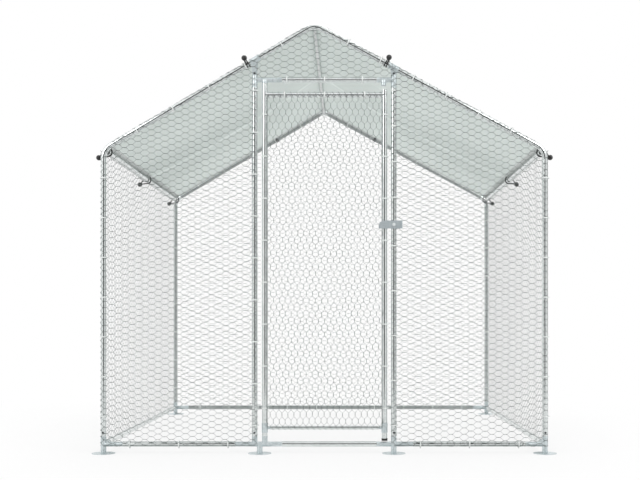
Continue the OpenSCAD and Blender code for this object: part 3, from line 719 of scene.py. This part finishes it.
OUT_FRONT = Vector((0, -1, 0))
OUT_BACK = Vector((0, 1, 0))
COIL_R = TUBE_R + COIL_WIRE_R + COIL_CLEAR
LACE_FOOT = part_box("hinge_post")[0].z


def front_point(x, z):
    return Vector((x, -POST_Y, z))


def rafter_run(side, y, margin):
    """The ends of a rafter's straight stretch, a margin short of the axes' crossings."""
    low = Vector((side * POST_X, y, EAVE_Z))
    high = Vector((RIDGE_X, y, RIDGE_Z))
    step = (high - low).normalized() * margin
    return low + step, high - step


RAFTER_MARGIN = 0.055
RAFTER_PITCH = NET_ROW * 1.4
GAP_SPARE = 0.008
LATCH_GAP = (LATCH_Z - (latch_high.x - LATCH_POST_X) - GAP_SPARE, LATCH_Z + LATCH_SWEEP)
DOOR_POST_RUNS = [
    (front_point(x, foot), front_point(x, top))
    for x, foot, top in (
        (HINGE_POST_X, LACE_FOOT, LINTEL_Z),
        (LATCH_POST_X, LACE_FOOT, LATCH_GAP[0]),
        (LATCH_POST_X, LATCH_GAP[1], LINTEL_Z),
    )
]
bm = bmesh.new()
for foot, top in DOOR_POST_RUNS:
    coil(bm, foot, top, COIL_R, OUT_FRONT, NET_ROW)
for side in (-1, 1):
    for y, out in ((-POST_Y, OUT_FRONT), (POST_Y, OUT_BACK)):
        coil(bm, *rafter_run(side, y, RAFTER_MARGIN), COIL_R, out, RAFTER_PITCH)
edge_piece("netting_lacing", bm, "frame")

bm = bmesh.new()
for side in (-1, 1):
    x = side * (POST_X + NET_OUT)
    for z in (NET_FOOT, SIDE_TOP):
        straight_wire(bm, Vector((x, -POST_Y, z)), Vector((x, POST_Y, z)))
straight_wire(
    bm, Vector((-POST_X, POST_Y + NET_OUT, NET_FOOT)), Vector((POST_X, POST_Y + NET_OUT, NET_FOOT))
)
for from_x, to_x in ((-POST_X, HINGE_POST_X), (LATCH_POST_X, POST_X)):
    straight_wire(bm, front_place(from_x, NET_FOOT, 0), front_place(to_x, NET_FOOT, 0))
edge_piece("netting_edge_wires", bm, "frame")

BOTTOM_RAIL_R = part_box("door_bottom_rail")[1].z - DOOR_BOTTOM_Z
BOTTOM_COIL_R = (NET_OUT + BOTTOM_RAIL_R) / 2 + COIL_WIRE_R * 2
BOTTOM_COIL_MARGIN = 0.02  # between the corner tees


def door_run(z, margin=0.0):
    return front_point(door_left + margin, z), front_point(door_right - margin, z)


bm = bmesh.new()
coil(bm, *door_run(DOOR_BOTTOM_Z, BOTTOM_COIL_MARGIN), BOTTOM_COIL_R, OUT_FRONT, NET_ROW)
bmesh.ops.scale(
    bm,
    vec=(1, 1, (BOTTOM_RAIL_R + COIL_WIRE_R * 2) / BOTTOM_COIL_R),
    space=Matrix.Translation((0, 0, -DOOR_BOTTOM_Z)),
    verts=bm.verts[:],
)
coil(bm, *door_run(DOOR_TOP_Z), COIL_R, OUT_FRONT, NET_ROW)
behind_net = Vector((0, EDGE_WIRE_R * 2, 0))
for x in (door_left, door_right):
    ends = (front_place(x, z, 0) + behind_net for z in (DOOR_BOTTOM_Z, DOOR_TOP_Z))
    straight_wire(bm, *ends)
edge_piece("door_netting_edges", bm, "door")


# Ties
# White nylon cable ties hold the netting to the tubes, one every hand's span or so. Each is a
# flat band through a square head, with its tail cut off short.
TIE_SPACING = 0.185
TIE_WIDTH = 0.0046
TIE_THICK = 0.0012
TIE_CLEAR = 0.0004  # off the tube and the netting
TIE_STEPS = 16
TIE_HEAD = (0.0044, 0.0058, 0.0066)  # out of the band, along the tube and round it
TIE_HEAD_SHIFT = TIE_HEAD[0] * 0.3  # from the band
TIE_HEAD_EDGE = 0.0009
TIE_TAIL = (TIE_THICK, TIE_WIDTH * 0.9, 0.003)
TIE_TAIL_SHIFT = TIE_HEAD[0] * 0.15  # from the middle of the head
NYLON_CLEAR = (0.78, 0.80, 0.79, 1)
NYLON_HAZY = (0.68, 0.71, 0.70, 1)
HAZES = 45.0  # to the metre

nylon, resin = new_material("tie_nylon")
haze = resin.grain(HAZES, detail=2.0)
resin.skin(
    Base_Color=haze.above(0.5, 0.3).mix(NYLON_CLEAR, NYLON_HAZY),
    Roughness=0.32 + haze * 0.16,
)


def round_edges(bm, edges, offset, segments):
    bmesh.ops.bevel(
        bm,
        geom=edges,
        offset=offset,
        offset_type="OFFSET",
        affect="EDGES",
        segments=segments,
        profile=0.5,
        material=-1,
    )


def tie(bm, centre, axis, out):
    """A cable tie round a tube and the netting on its side towards out, its head at the side."""
    axis = axis.normalized()
    out = (out - out.project(axis)).normalized()
    radius = (TUBE_R + NET_OUT + WIRE_R * 2) / 2 + TIE_CLEAR
    centre = centre + out * (NET_OUT + WIRE_R * 2 + TIE_CLEAR - radius)
    aside = axis.cross(out)
    place = Matrix((aside, axis, aside.cross(axis))).transposed().to_4x4()
    place.translation = centre + aside * (radius + TIE_THICK / 2)
    band = bmesh.ops.create_grid(
        bm,
        x_segments=1,
        y_segments=1,
        size=0.5,
        matrix=place @ Matrix.Diagonal((TIE_THICK, TIE_WIDTH, 1, 1)),
    )
    face = band["verts"][0].link_faces[0]
    edges = list(face.edges)
    bmesh.ops.delete(bm, geom=[face], context="FACES_ONLY")
    bmesh.ops.spin(
        bm,
        geom=band["verts"] + edges,
        cent=centre,
        axis=axis,
        angle=math.tau,
        steps=TIE_STEPS,
        use_merge=True,
    )
    place.translation += aside * TIE_HEAD_SHIFT
    head = bmesh.ops.create_cube(bm, size=1, matrix=place @ Matrix.Diagonal((*TIE_HEAD, 1)))
    round_edges(bm, edges_of(head["verts"]), TIE_HEAD_EDGE, 1)
    to_tail = Vector((TIE_TAIL_SHIFT, 0, (TIE_HEAD[2] + TIE_TAIL[2]) / 2))
    place.translation += place.to_3x3() @ to_tail
    bmesh.ops.create_cube(bm, size=1, matrix=place @ Matrix.Diagonal((*TIE_TAIL, 1)))


TIE_MARGIN = 0.09  # of the outer ties from the ends of a tube
POST_MARGIN = 0.05  # on the door posts
SHORT_MARGIN = 0.12  # on the rafters and the front's short rails
LONG_MARGIN = 0.16  # on tubes of the whole depth or width
LINTEL_MARGIN = 0.1


def tie_row(bm, start, end, out, margin=TIE_MARGIN):
    """Ties along a tube, evenly spread between its ends."""
    run = end - start
    step = run.normalized()
    count = max(1, round((run.length - 2 * margin) / TIE_SPACING))
    for number in range(count + 1):
        at = margin + (run.length - 2 * margin) * number / count
        tie(bm, start + step * at, run, out)


def tie_piece(name, bm, body):
    face_out(bm)
    made = mesh_object(name, bm, nylon)
    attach(made, body)


POST_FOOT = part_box("front_left_post")[0].z
POST_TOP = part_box("front_left_post")[1].z
bm = bmesh.new()
for side in (-1, 1):
    x = side * POST_X
    for y, out in ((-POST_Y, OUT_FRONT), (POST_Y, OUT_BACK)):
        tie_row(bm, Vector((x, y, POST_FOOT)), Vector((x, y, POST_TOP)), out)
        tie_row(bm, *rafter_run(side, y, RAFTER_MARGIN), out, SHORT_MARGIN)
    for x, z in ((x, RAIL_Z), (eave_axes[side].x, SIDE_TOP)):
        ends = (Vector((x, y, z)) for y in (-POST_Y, POST_Y))
        tie_row(bm, *ends, Vector((side, 0, 0)), LONG_MARGIN)
for foot, top in DOOR_POST_RUNS:
    tie_row(bm, foot, top, OUT_FRONT, POST_MARGIN)
for from_x, to_x, z, margin in (
    (-POST_X, HINGE_POST_X, RAIL_Z, SHORT_MARGIN),
    (LATCH_POST_X, POST_X, RAIL_Z, SHORT_MARGIN),
    (HINGE_X, LATCH_STILE_X, LINTEL_Z, LINTEL_MARGIN),
):
    tie_row(bm, front_point(from_x, z), front_point(to_x, z), OUT_FRONT, margin)
back_ends = (Vector((x, POST_Y, RAIL_Z)) for x in (-POST_X, POST_X))
tie_row(bm, *back_ends, OUT_BACK, LONG_MARGIN)
tie_piece("frame_ties", bm, "frame")

bm = bmesh.new()
for x in (HINGE_X, LATCH_STILE_X):
    tie_row(bm, front_point(x, DOOR_BOTTOM_Z), front_point(x, DOOR_TOP_Z), OUT_FRONT)
tie_row(bm, front_point(HINGE_X, DOOR_TOP_Z), front_point(LATCH_STILE_X, DOOR_TOP_Z), OUT_FRONT)
tie_piece("door_ties", bm, "door")


# Roof sheet
# One woven plastic sheet, pale grey-green, stretched over the three purlins. It keeps the creases
# that it was folded in, sags a little between the purlins and has a doubled hem all round.
SHEET_LAP = 0.008  # past the axes of the eave purlins
SHEET_OVER = TUBE_R + 0.0008  # from a purlin's axis to the middle of the sheet
SHEET_T = 0.0008
HEM_T = 0.0013
HEM_WIDTH = 0.034
ACROSS_STEPS = 170
DEPTH_STEPS = 140
SAG = 0.020
SAG_POWER = 0.75  # under 1, so that a slope is flatter in its middle
FOLD_Y = 0.02
FOLD_DEPTH = 0.011
FOLD_WIDTH = 0.07
HALF_FOLDS = (-0.47, 0.51)  # halfway from the main fold to the gables
HALF_FOLD = (0.0035, 0.03)  # height and width
CROSS_FOLDS = (0.36, 0.7)  # shares of a slope
CROSS_FOLD = (0.003, 0.03)
WRINKLES = (  # height, number to the metre across and along the depth, seed
    (0.0035, 4.0, 6.5, 3.1),
    (0.0016, 13.0, 17.0, 8.2),
)
HELD_WIDTH = 0.12  # at the gables, where the sheet is drawn flat
TAPE = 0.0024  # width of the woven tapes

ridge_axis = middle("ridge_purlin")
SHEET_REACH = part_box("roof_sheet")[1].y


def slope_of(side):
    """The length of a slope between its purlins, and its directions up the slope and outwards."""
    run = Vector((ridge_axis.x - eave_axes[side].x, ridge_axis.z - eave_axes[side].z))
    up = run.normalized()
    return run.length, up, Vector((-up.y, up.x)) if side < 0 else Vector((up.y, -up.x))


left_length, left_up, left_out = slope_of(-1)
right_length, right_up, right_out = slope_of(1)
crown_turn = left_out.angle(right_out)
crown_length = crown_turn * SHEET_OVER
SHEET_WIDTH = left_length + right_length + crown_length + 2 * SHEET_LAP


def sheet_profile(along):
    """A spot on the sheet's middle line, its outward direction, and how far up the slope it is."""
    ridge = Vector((ridge_axis.x, ridge_axis.z))
    left_end = SHEET_LAP + left_length
    if along < left_end:
        eave = Vector((eave_axes[-1].x, eave_axes[-1].z))
        rise = along - SHEET_LAP
        return eave + left_up * rise + left_out * SHEET_OVER, left_out, rise / left_length
    if along < left_end + crown_length:
        turn = (along - left_end) / SHEET_OVER
        out = Matrix.Rotation(-turn, 2) @ left_out
        return ridge + out * SHEET_OVER, out, 1.0
    eave = Vector((eave_axes[1].x, eave_axes[1].z))
    rise = SHEET_WIDTH - along - SHEET_LAP
    return eave + right_up * rise + right_out * SHEET_OVER, right_out, rise / right_length


def smooth(value):
    value = min(max(value, 0.0), 1.0)
    return value * value * (3 - 2 * value)


def folds(at, places, height, width):
    """The height at a spot of folds at these places."""
    return height * sum(math.exp(-abs(at - place) / width) for place in places)


def sheet_sink(rise, y, along):
    """How far the sheet lies under its stretched plane: sag, packing folds and small wrinkles."""
    held = smooth((SHEET_REACH - abs(y)) / HELD_WIDTH)
    between = math.sin(math.pi * min(max(rise, 0.0), 1.0)) ** SAG_POWER
    sink = SAG * (1 - abs(y - FOLD_Y) / SHEET_REACH)
    sink += folds(y, (FOLD_Y,), FOLD_DEPTH, FOLD_WIDTH)
    sink += folds(rise, CROSS_FOLDS, *CROSS_FOLD) - folds(y, HALF_FOLDS, *HALF_FOLD)
    for height, across, deep, seed in WRINKLES:
        sink += height * noise.noise(Vector((along * across, y * deep, seed)))
    return held * between * sink


def roof_cloth(name, material, keep, thickness):
    """The sheet's grid in place, or what keep picks of it, as a cloth of that thickness."""
    bm = bmesh.new()
    map_layer = bm.loops.layers.uv.new("cloth")
    bmesh.ops.create_grid(bm, x_segments=ACROSS_STEPS, y_segments=DEPTH_STEPS, size=0.5)
    flat = {}
    for vert in bm.verts:
        flat[vert] = ((vert.co.x + 0.5) * SHEET_WIDTH, vert.co.y * 2 * SHEET_REACH)
        spot, out, rise = sheet_profile(flat[vert][0])
        spot = spot - out * sheet_sink(rise, flat[vert][1], flat[vert][0])
        vert.co = (spot.x, flat[vert][1], spot.y)
    for face in bm.faces:
        face.smooth = True
        for loop in face.loops:
            loop[map_layer].uv = flat[loop.vert]
    dropped = [face for face in bm.faces if not any(keep(*flat[vert]) for vert in face.verts)]
    bmesh.ops.delete(bm, geom=dropped, context="FACES")
    face_out(bm)
    made = mesh_object(name, bm, material)
    wall_of = made.modifiers.new("thickness", "SOLIDIFY")
    wall_of.thickness = thickness
    wall_of.offset = 0
    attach(made, "frame")
    return made


SHEET_COLOUR = (0.74, 0.77, 0.757, 1)
# The darker colour of the stains, which also serves as painted shade in bands.
SHEET_STAIN_AND_SHADE = (0.53, 0.565, 0.552, 1)
# Creases are paler partly where folded plastic turns white and partly as a painted highlight.
SHEET_CREASE_PALE_LIT = (0.94, 0.95, 0.945, 1)
# Painted shadow: the darker colour beside the main fold.
SHEET_FOLD_SHADOW = (0.46, 0.495, 0.485, 1)
SHEET_LIGHT = (0.80, 0.835, 0.82, 1)  # that comes through
SHEET_THROUGH = 0.55  # share of it
# Painted shade: the hem gets the sheet's colours made darker.
HEM_SHADE_TONE = 0.84  # of the doubled hem, which lets no light through
FOLD_THIN = 0.007  # half width of the line that lets more light through along the main fold
FOLD_THROUGH = 0.4
STAINS = 3.0  # to the metre
CREASE_DRIFT = 0.03
DEPTH_CREASE = 0.016  # half width
HALF_CREASE_SHARE = 0.6
CROSS_CREASE = 0.004
CROSS_CREASE_SHARE = 0.5
CREASES_ACROSS = [SHEET_LAP + left_length * share for share in CROSS_FOLDS]
CREASES_ACROSS += [SHEET_WIDTH - SHEET_LAP - right_length * share for share in CROSS_FOLDS]
# Painted shadow along both sides of the main fold.
FOLD_SHADOW_LINES = (FOLD_Y - 0.035, FOLD_Y + 0.04)  # on both sides of the main fold
FOLD_SHADOW_SHARE = 0.35
# Painted shade: darker bands along the depth and across each slope, none along the ridge.
RIDGE_EVEN = 0.3  # half width of the stretch along the ridge without shaded bands
BAND_START = 0.28
BAND_PERIOD = 1.4  # along the depth
BAND_SHARE = 0.28
SLOPE_BAND_PERIOD = 0.62  # across
SLOPE_BAND_SHARE = 0.08
WEAVE_DEPTH = 0.0003


def crease(at, folds, half):
    """1 along the folds at these places."""
    return sum(1 - ((at - fold) * (at - fold)).above(half * half, half * half) for fold in folds)


def sheet_material(name, through_share, tone=1.0):
    """Woven tapes, stains, painted shade and shadows, pale creases partly painted as highlights."""
    made, cloth = new_material(name)
    plain, shaded, crease_pale_lit_cloth, fold_shadow_cloth = (
        (*(part * tone for part in colour[:3]), 1)
        for colour in (SHEET_COLOUR, SHEET_STAIN_AND_SHADE, SHEET_CREASE_PALE_LIT, SHEET_FOLD_SHADOW)
    )
    uv = cloth.node("ShaderNodeUVMap", {"uv_map": "cloth"})
    warp = cloth.node("ShaderNodeSeparateXYZ", output="X", Vector=uv)
    weft = cloth.node("ShaderNodeSeparateXYZ", output="Y", Vector=uv)
    weave = warp.wave(2 * TAPE) * weft.wave(2 * TAPE)
    stain = cloth.node("ShaderNodeTexNoise", Vector=uv, Scale=STAINS, Detail=5.0)
    drift = (stain - 0.5) * CREASE_DRIFT
    # Creases paler partly from the folded plastic and partly as a painted highlight.
    paled_and_highlit = crease(weft + drift, (FOLD_Y,), DEPTH_CREASE)
    paled_and_highlit = paled_and_highlit + crease(weft + drift, HALF_FOLDS, DEPTH_CREASE / 2) * HALF_CREASE_SHARE
    paled_and_highlit = paled_and_highlit + crease(warp + drift, CREASES_ACROSS, CROSS_CREASE) * CROSS_CREASE_SHARE
    # Painted shadow beside the main fold.
    fold_shadow = crease(weft + drift, FOLD_SHADOW_LINES, DEPTH_CREASE) * FOLD_SHADOW_SHARE
    by_ridge = crease(warp, (SHEET_WIDTH / 2,), RIDGE_EVEN)
    # Painted shade in bands along the depth and across the slopes.
    bands = (weft + BAND_START).wave(BAND_PERIOD) * (1 - by_ridge) * BAND_SHARE
    bands = bands + warp.wave(SLOPE_BAND_PERIOD) * SLOPE_BAND_SHARE
    # Stains and the painted shade of the bands darken the sheet.
    stains_and_shade = (weave * 0.12 + stain * 0.75 + bands).above(0.4, 0.4).mix(plain, shaded)
    creased = fold_shadow.mix(stains_and_shade, fold_shadow_cloth)
    look = cloth.node(
        "ShaderNodeBsdfPrincipled",
        Base_Color=(paled_and_highlit * stain).above(0.4, 0.3).mix(creased, crease_pale_lit_cloth),
        Roughness=0.42 + stain * 0.16,
        Normal=cloth.node("ShaderNodeBump", Strength=0.35, Distance=WEAVE_DEPTH, Height=weave),
    )
    if through_share:
        through = cloth.node("ShaderNodeBsdfTranslucent", Color=SHEET_LIGHT)
        thin = crease(weft + drift, (FOLD_Y,), FOLD_THIN) * FOLD_THROUGH + through_share
        look = cloth.node("ShaderNodeMixShader", Fac=thin, Shader=look, Shader_001=through)
    cloth.node("ShaderNodeOutputMaterial", Surface=look)
    return made


roof = roof_cloth(
    "roof_sheet_cloth", sheet_material("roof_sheet", SHEET_THROUGH), lambda along, y: True, SHEET_T
)
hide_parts("roof_sheet")
hem = roof_cloth(
    "roof_sheet_hem",
    sheet_material("roof_sheet_hem", 0, HEM_SHADE_TONE),
    lambda along, y: min(along, SHEET_WIDTH - along, SHEET_REACH - abs(y)) < HEM_WIDTH,
    HEM_T,
)
finish(fitting_zinc, "roof_eyelets")


# Bungees
# Ball bungees of black elastic cord: each loop goes through an eyelet of the sheet, round the tube
# beside it and into a black plastic ball, which draws it tight.
CORD_R = 0.0023
BALL_R = 0.0125
BALL_REACH = 0.048  # from the axis of the tube
BALL_ENTRY = 0.005  # how far the loop runs into the ball
BALL_TURN = 0.003
BALL_BEND = BALL_REACH - BALL_R + BALL_ENTRY - BALL_TURN
BALL_MOUTH = (0.0052, 0.0062)  # radius at its two ends
BALL_MOUTH_H = 0.0028
BALL_MOUTH_IN = 0.0004
EYELET_TURN = 0.006
EAVE_WRAP = 0.0185  # radius of a cord round a purlin and the sheet's edge
RAFTER_WRAP = 0.01505
EAVE_EYELET = 0.022
RAFTER_EYELET = 0.036
EAVE_BUNGEE = 0.048  # from the plane of a gable
RAFTER_BUNGEE = 0.033  # from the axis of a door post
RAFTER_BALL = math.radians(155)
STRANDS_AT_TUBE = 0.0055
STRANDS_AT_ENDS = 0.0023
BEND_STEP = math.radians(12)
CORD_BLACKS = (grey(0.010), grey(0.026))
YARNS = 900.0  # to the metre
YARN_DEPTH = 0.0003
BALL_BLACKS = (grey(0.008), grey(0.018))
BALL_SCUFFS = 140.0


def leaving(bend, after):
    """The angle at which a cord leaves one bend straight for the next."""
    way = after[0] - bend[0]
    return math.atan2(way.y, way.x) - math.acos((bend[1] - after[1]) / way.length)


def loop_path(bends):
    """A closed cord round bends of (centre, radius, half the distance between its two strands)."""
    path = []
    for before, bend, after in zip(bends[-1:] + bends, bends, bends[1:] + bends):
        start = leaving(before, bend)
        turn = (leaving(bend, after) - start) % math.tau
        steps = math.ceil(turn / BEND_STEP)
        for step in range(steps + 1):
            angle = start + turn * step / steps
            spot = bend[0] + bend[1] * Vector((math.cos(angle), math.sin(angle)))
            path.append((spot.x, spot.y, bend[2]))
    return path


def axes_at(origin, inboard, up):
    """The place of a bungee: its first axis points inboard, its second out of the sheet."""
    place = Matrix((inboard, up, inboard.cross(up))).transposed().to_4x4()
    place.translation = origin
    return place


elastic, braid = new_material("elastic_cord")
yarn = braid.grain(YARNS, detail=2.0)
braid.skin(
    Base_Color=yarn.above(0.5, 0.2).mix(*CORD_BLACKS),
    Roughness=0.62 + yarn * 0.2,
    Normal=braid.node("ShaderNodeBump", Strength=0.3, Distance=YARN_DEPTH, Height=yarn),
)
ball_plastic, shell = new_material("ball_plastic")
scuffs = shell.grain(BALL_SCUFFS, detail=3.0)
shell.skin(
    Base_Color=scuffs.above(0.55, 0.15).mix(*BALL_BLACKS),
    Roughness=0.28 + scuffs * 0.18,
)

UP_OF = {side: Vector((out.x, 0, out.y)) for side, out in ((-1, left_out), (1, right_out))}
INBOARD_OF = {side: Vector((up.x, 0, up.y)) for side, up in ((-1, left_up), (1, right_up))}
bungees = []
for side in (-1, 1):
    for y in (EAVE_BUNGEE - POST_Y, 0, POST_Y - EAVE_BUNGEE):
        spot = Vector((eave_axes[side].x, y, eave_axes[side].z))
        place = axes_at(spot, INBOARD_OF[side], UP_OF[side])
        bungees.append((place, EAVE_WRAP, math.pi, Vector((EAVE_EYELET, SHEET_OVER))))
    post_x = HINGE_POST_X if side < 0 else LATCH_POST_X
    for y in (-POST_Y, POST_Y):
        spot = Vector((post_x - RAFTER_BUNGEE, y, rafter_z(post_x - RAFTER_BUNGEE)))
        to_eave = Vector((eave_axes[side].x, y, eave_axes[side].z)) - spot
        lift = SHEET_OVER + to_eave.dot(UP_OF[side])
        place = axes_at(spot, Vector((0, -math.copysign(1, y), 0)), UP_OF[side])
        bungees.append((place, RAFTER_WRAP, RAFTER_BALL, Vector((RAFTER_EYELET, lift))))

cord_curve = bpy.data.curves.new("bungee_loops", "CURVE")
cord_curve.dimensions = "3D"
cord_curve.bevel_depth = CORD_R
cord_curve.bevel_resolution = 2
balls = bmesh.new()
for place, wrap, ball_angle, eyelet in bungees:
    to_ball = Vector((math.cos(ball_angle), math.sin(ball_angle)))
    tube_bend = (Vector((0, 0)), wrap, STRANDS_AT_TUBE)
    ball_bend = (to_ball * BALL_BEND, BALL_TURN, STRANDS_AT_ENDS)
    eyelet_bend = (eyelet - Vector((EYELET_TURN, 0)), EYELET_TURN, STRANDS_AT_ENDS)
    path = loop_path([tube_bend, ball_bend, tube_bend, eyelet_bend])
    for strand in (-1, 1):
        spline = cord_curve.splines.new("POLY")
        spline.points.add(len(path) - 1)
        spline.use_cyclic_u = True
        for point, (x, y, spread) in zip(spline.points, path):
            point.co = (*(place @ Vector((x, y, strand * spread))), 1)
    turn = to_ball.to_3d().to_track_quat("Z", "Y").to_matrix().to_4x4()
    turn.translation = to_ball.to_3d() * BALL_REACH
    bmesh.ops.create_uvsphere(
        balls, u_segments=28, v_segments=16, radius=BALL_R, matrix=place @ turn
    )
    turn.translation = to_ball.to_3d() * (BALL_REACH - BALL_R + BALL_MOUTH_IN)
    rod(balls, place @ turn, BALL_MOUTH_H, *BALL_MOUTH, 20)

loops = bpy.data.objects.new("bungee_loops", cord_curve)
bpy.context.scene.collection.objects.link(loops)
drawn = loops.evaluated_get(bpy.context.evaluated_depsgraph_get())
cord_mesh = bpy.data.meshes.new_from_object(drawn)
bpy.data.objects.remove(loops)
cord_mesh.materials.clear()
cord_mesh.materials.append(elastic)
cord_mesh.shade_smooth()
cords = bpy.data.objects.new("bungee_elastic", cord_mesh)
bpy.context.scene.collection.objects.link(cords)
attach(cords, "frame")
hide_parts("bungee_cords")

for face in balls.faces:
    face.smooth = True
bungee_balls = mesh_object("bungee_ball_plastic", balls, ball_plastic)
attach(bungee_balls, "frame")
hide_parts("bungee_balls")


# Latch
# A flat zinc-plated plate turns on a bolt through the latch post, over the edge of the door. The
# bolt has a round head with a slot, and a washer and a nut hold it behind the plate and the post.
LATCH_BRIGHT = (0.44, 0.485, 0.505, 1)
LATCH_DULL = (0.34, 0.385, 0.405, 1)
BOLT_BRIGHT = (0.86, 0.89, 0.89, 1)
BOLT_DULL = (0.74, 0.78, 0.78, 1)
HEAD_H = 0.0045
HEAD_EDGE = HEAD_H * 0.3
HEAD_SLOT = 0.0022
HEAD_LOW = 0.6  # share of the head under its slot
SLOT_ANGLE = 2.3
SHANK_R = 0.004

latch_zinc = zinc("latch_zinc", LATCH_BRIGHT, LATCH_DULL, roughness=0.45, metallic=0.4)
finish(latch_zinc, "latch_plate", "latch_washer", "latch_nut")
bolt_zinc = zinc("bolt_zinc", BOLT_BRIGHT, BOLT_DULL, roughness=0.3, metallic=0.35)

bolt_low, bolt_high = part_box("latch_bolt")
HEAD_R = (bolt_high.x - bolt_low.x) / 2
bolt_axis = (bolt_low + bolt_high) / 2
facing = Matrix.Rotation(math.pi / 2, 4, "X")


def disc(bm, radius, from_y, to_y):
    """A round bar along the bolt's axis."""
    place = Matrix.Translation((bolt_axis.x, (from_y + to_y) / 2, bolt_axis.z)) @ facing
    return rod(bm, place, abs(to_y - from_y), radius, radius, 40)


bm = bmesh.new()
slot_y = bolt_low.y + HEAD_H * (1 - HEAD_LOW)
head_back = bolt_low.y + HEAD_H
disc(bm, HEAD_R, slot_y, head_back)
disc(bm, SHANK_R, head_back, bolt_high.y)
cap = bmesh.new()
front = [
    edge
    for edge in edges_of(disc(cap, HEAD_R, bolt_low.y, slot_y))
    if all(abs(vert.co.y - bolt_low.y) < HEAD_EDGE / 10 for vert in edge.verts)
]
round_edges(cap, front, HEAD_EDGE, 3)
slot_turn = Vector((math.cos(SLOT_ANGLE), 0, math.sin(SLOT_ANGLE)))
for way in (-1, 1):
    half = cap.copy()
    bmesh.ops.bisect_plane(
        half,
        geom=half.verts[:] + half.edges[:] + half.faces[:],
        plane_co=bolt_axis + slot_turn * way * HEAD_SLOT / 2,
        plane_no=slot_turn * -way,
        clear_outer=True,
    )
    bmesh.ops.holes_fill(half, edges=[e for e in half.edges if e.is_boundary], sides=0)
    part = bpy.data.meshes.new("bolt_head_half")
    half.to_mesh(part)
    half.free()
    bm.from_mesh(part)
    bpy.data.meshes.remove(part)
cap.free()
face_out(bm)
latch_bolt = mesh_object("latch_bolt_slotted", bm, bolt_zinc)
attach(latch_bolt, "frame")
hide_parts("latch_bolt")


# Screws
# Dark self-tapping screws with pan heads lock the posts on the spigots of their bases, and the
# necks of the head connectors on the posts.
SCREW_R = 0.005
SCREW_TOP_R = SCREW_R * 0.72
SCREW_H = 0.0034
SOCKET_RIM = SCREW_R * 0.3
SOCKET_DEPTH = SCREW_H * 0.4
SCREW_SEAT = TUBE_R * 0.98  # from the axis of a post
SCREW_LIFT = 0.016  # above the foot of a post
NECK_SCREW_Z = 0.028  # above the axis of the lintel
NECK_HALF = 0.010
SCREW_DARK = (0.028, 0.033, 0.035, 1)
SCREW_RUBBED = (0.06, 0.066, 0.068, 1)
RUBS = 400.0  # to the metre

screw_steel, plating = new_material("screw_steel")
rub = plating.grain(RUBS, detail=2.0)
plating.skin(
    Base_Color=rub.above(0.55, 0.15).mix(SCREW_DARK, SCREW_RUBBED),
    Metallic=0.6,
    Roughness=0.32 + rub * 0.18,
)


def screw(bm, seat, out):
    """A pan head on a tube's side at seat, facing out, with a socket in it."""
    place = out.to_track_quat("Z", "Y").to_matrix().to_4x4()
    place.translation = seat + out * SCREW_H / 2
    head = rod(bm, place, SCREW_H, SCREW_R, SCREW_TOP_R, 20)
    bm.normal_update()
    top = max({f for v in head for f in v.link_faces}, key=lambda f: f.normal.dot(out))
    bmesh.ops.inset_region(bm, faces=[top], thickness=SOCKET_RIM, depth=-SOCKET_DEPTH)


bm = bmesh.new()
for side in (-1, 1):
    for y, out in ((-POST_Y, OUT_FRONT), (POST_Y, OUT_BACK)):
        screw(bm, Vector((side * POST_X, y, POST_FOOT + SCREW_LIFT)) + out * SCREW_SEAT, out)
for x in (HINGE_POST_X, LATCH_POST_X):
    screw(bm, front_point(x, LACE_FOOT + SCREW_LIFT) + OUT_FRONT * SCREW_SEAT, OUT_FRONT)
    screw(bm, front_point(x, LINTEL_Z + NECK_SCREW_Z) + OUT_FRONT * NECK_HALF, OUT_FRONT)
screws = mesh_object("post_screws", bm, screw_steel)
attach(screws, "frame")


# End cap
# A black plastic cap is pushed over the foot of the latch stile, so that the open tube doesn't
# scratch the threshold. A thicker rim runs round its mouth.
CAP_WALL = 0.0012
CAP_HEIGHT = 0.0105
CAP_RIM_R = TUBE_R + 1.6 * CAP_WALL
CAP_RIM_H = 0.0022
CAP_EDGE = 0.0005

cap_axis = middle("latch_stile_cap")
cap_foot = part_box("latch_stile_cap")[0].z
bm = bmesh.new()
for radius, depth in ((TUBE_R + CAP_WALL, CAP_HEIGHT), (CAP_RIM_R, CAP_RIM_H)):
    place = Matrix.Translation((cap_axis.x, cap_axis.y, cap_foot + CAP_HEIGHT - depth / 2))
    edges = edges_of(rod(bm, place, depth, radius, radius, 36))
    level = [e for e in edges if abs(e.verts[0].co.z - e.verts[1].co.z) < CAP_EDGE]
    round_edges(bm, level, CAP_EDGE, 2)
face_out(bm)
end_cap = mesh_object("latch_stile_end_cap", bm, ball_plastic)
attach(end_cap, "door")
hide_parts("latch_stile_cap")
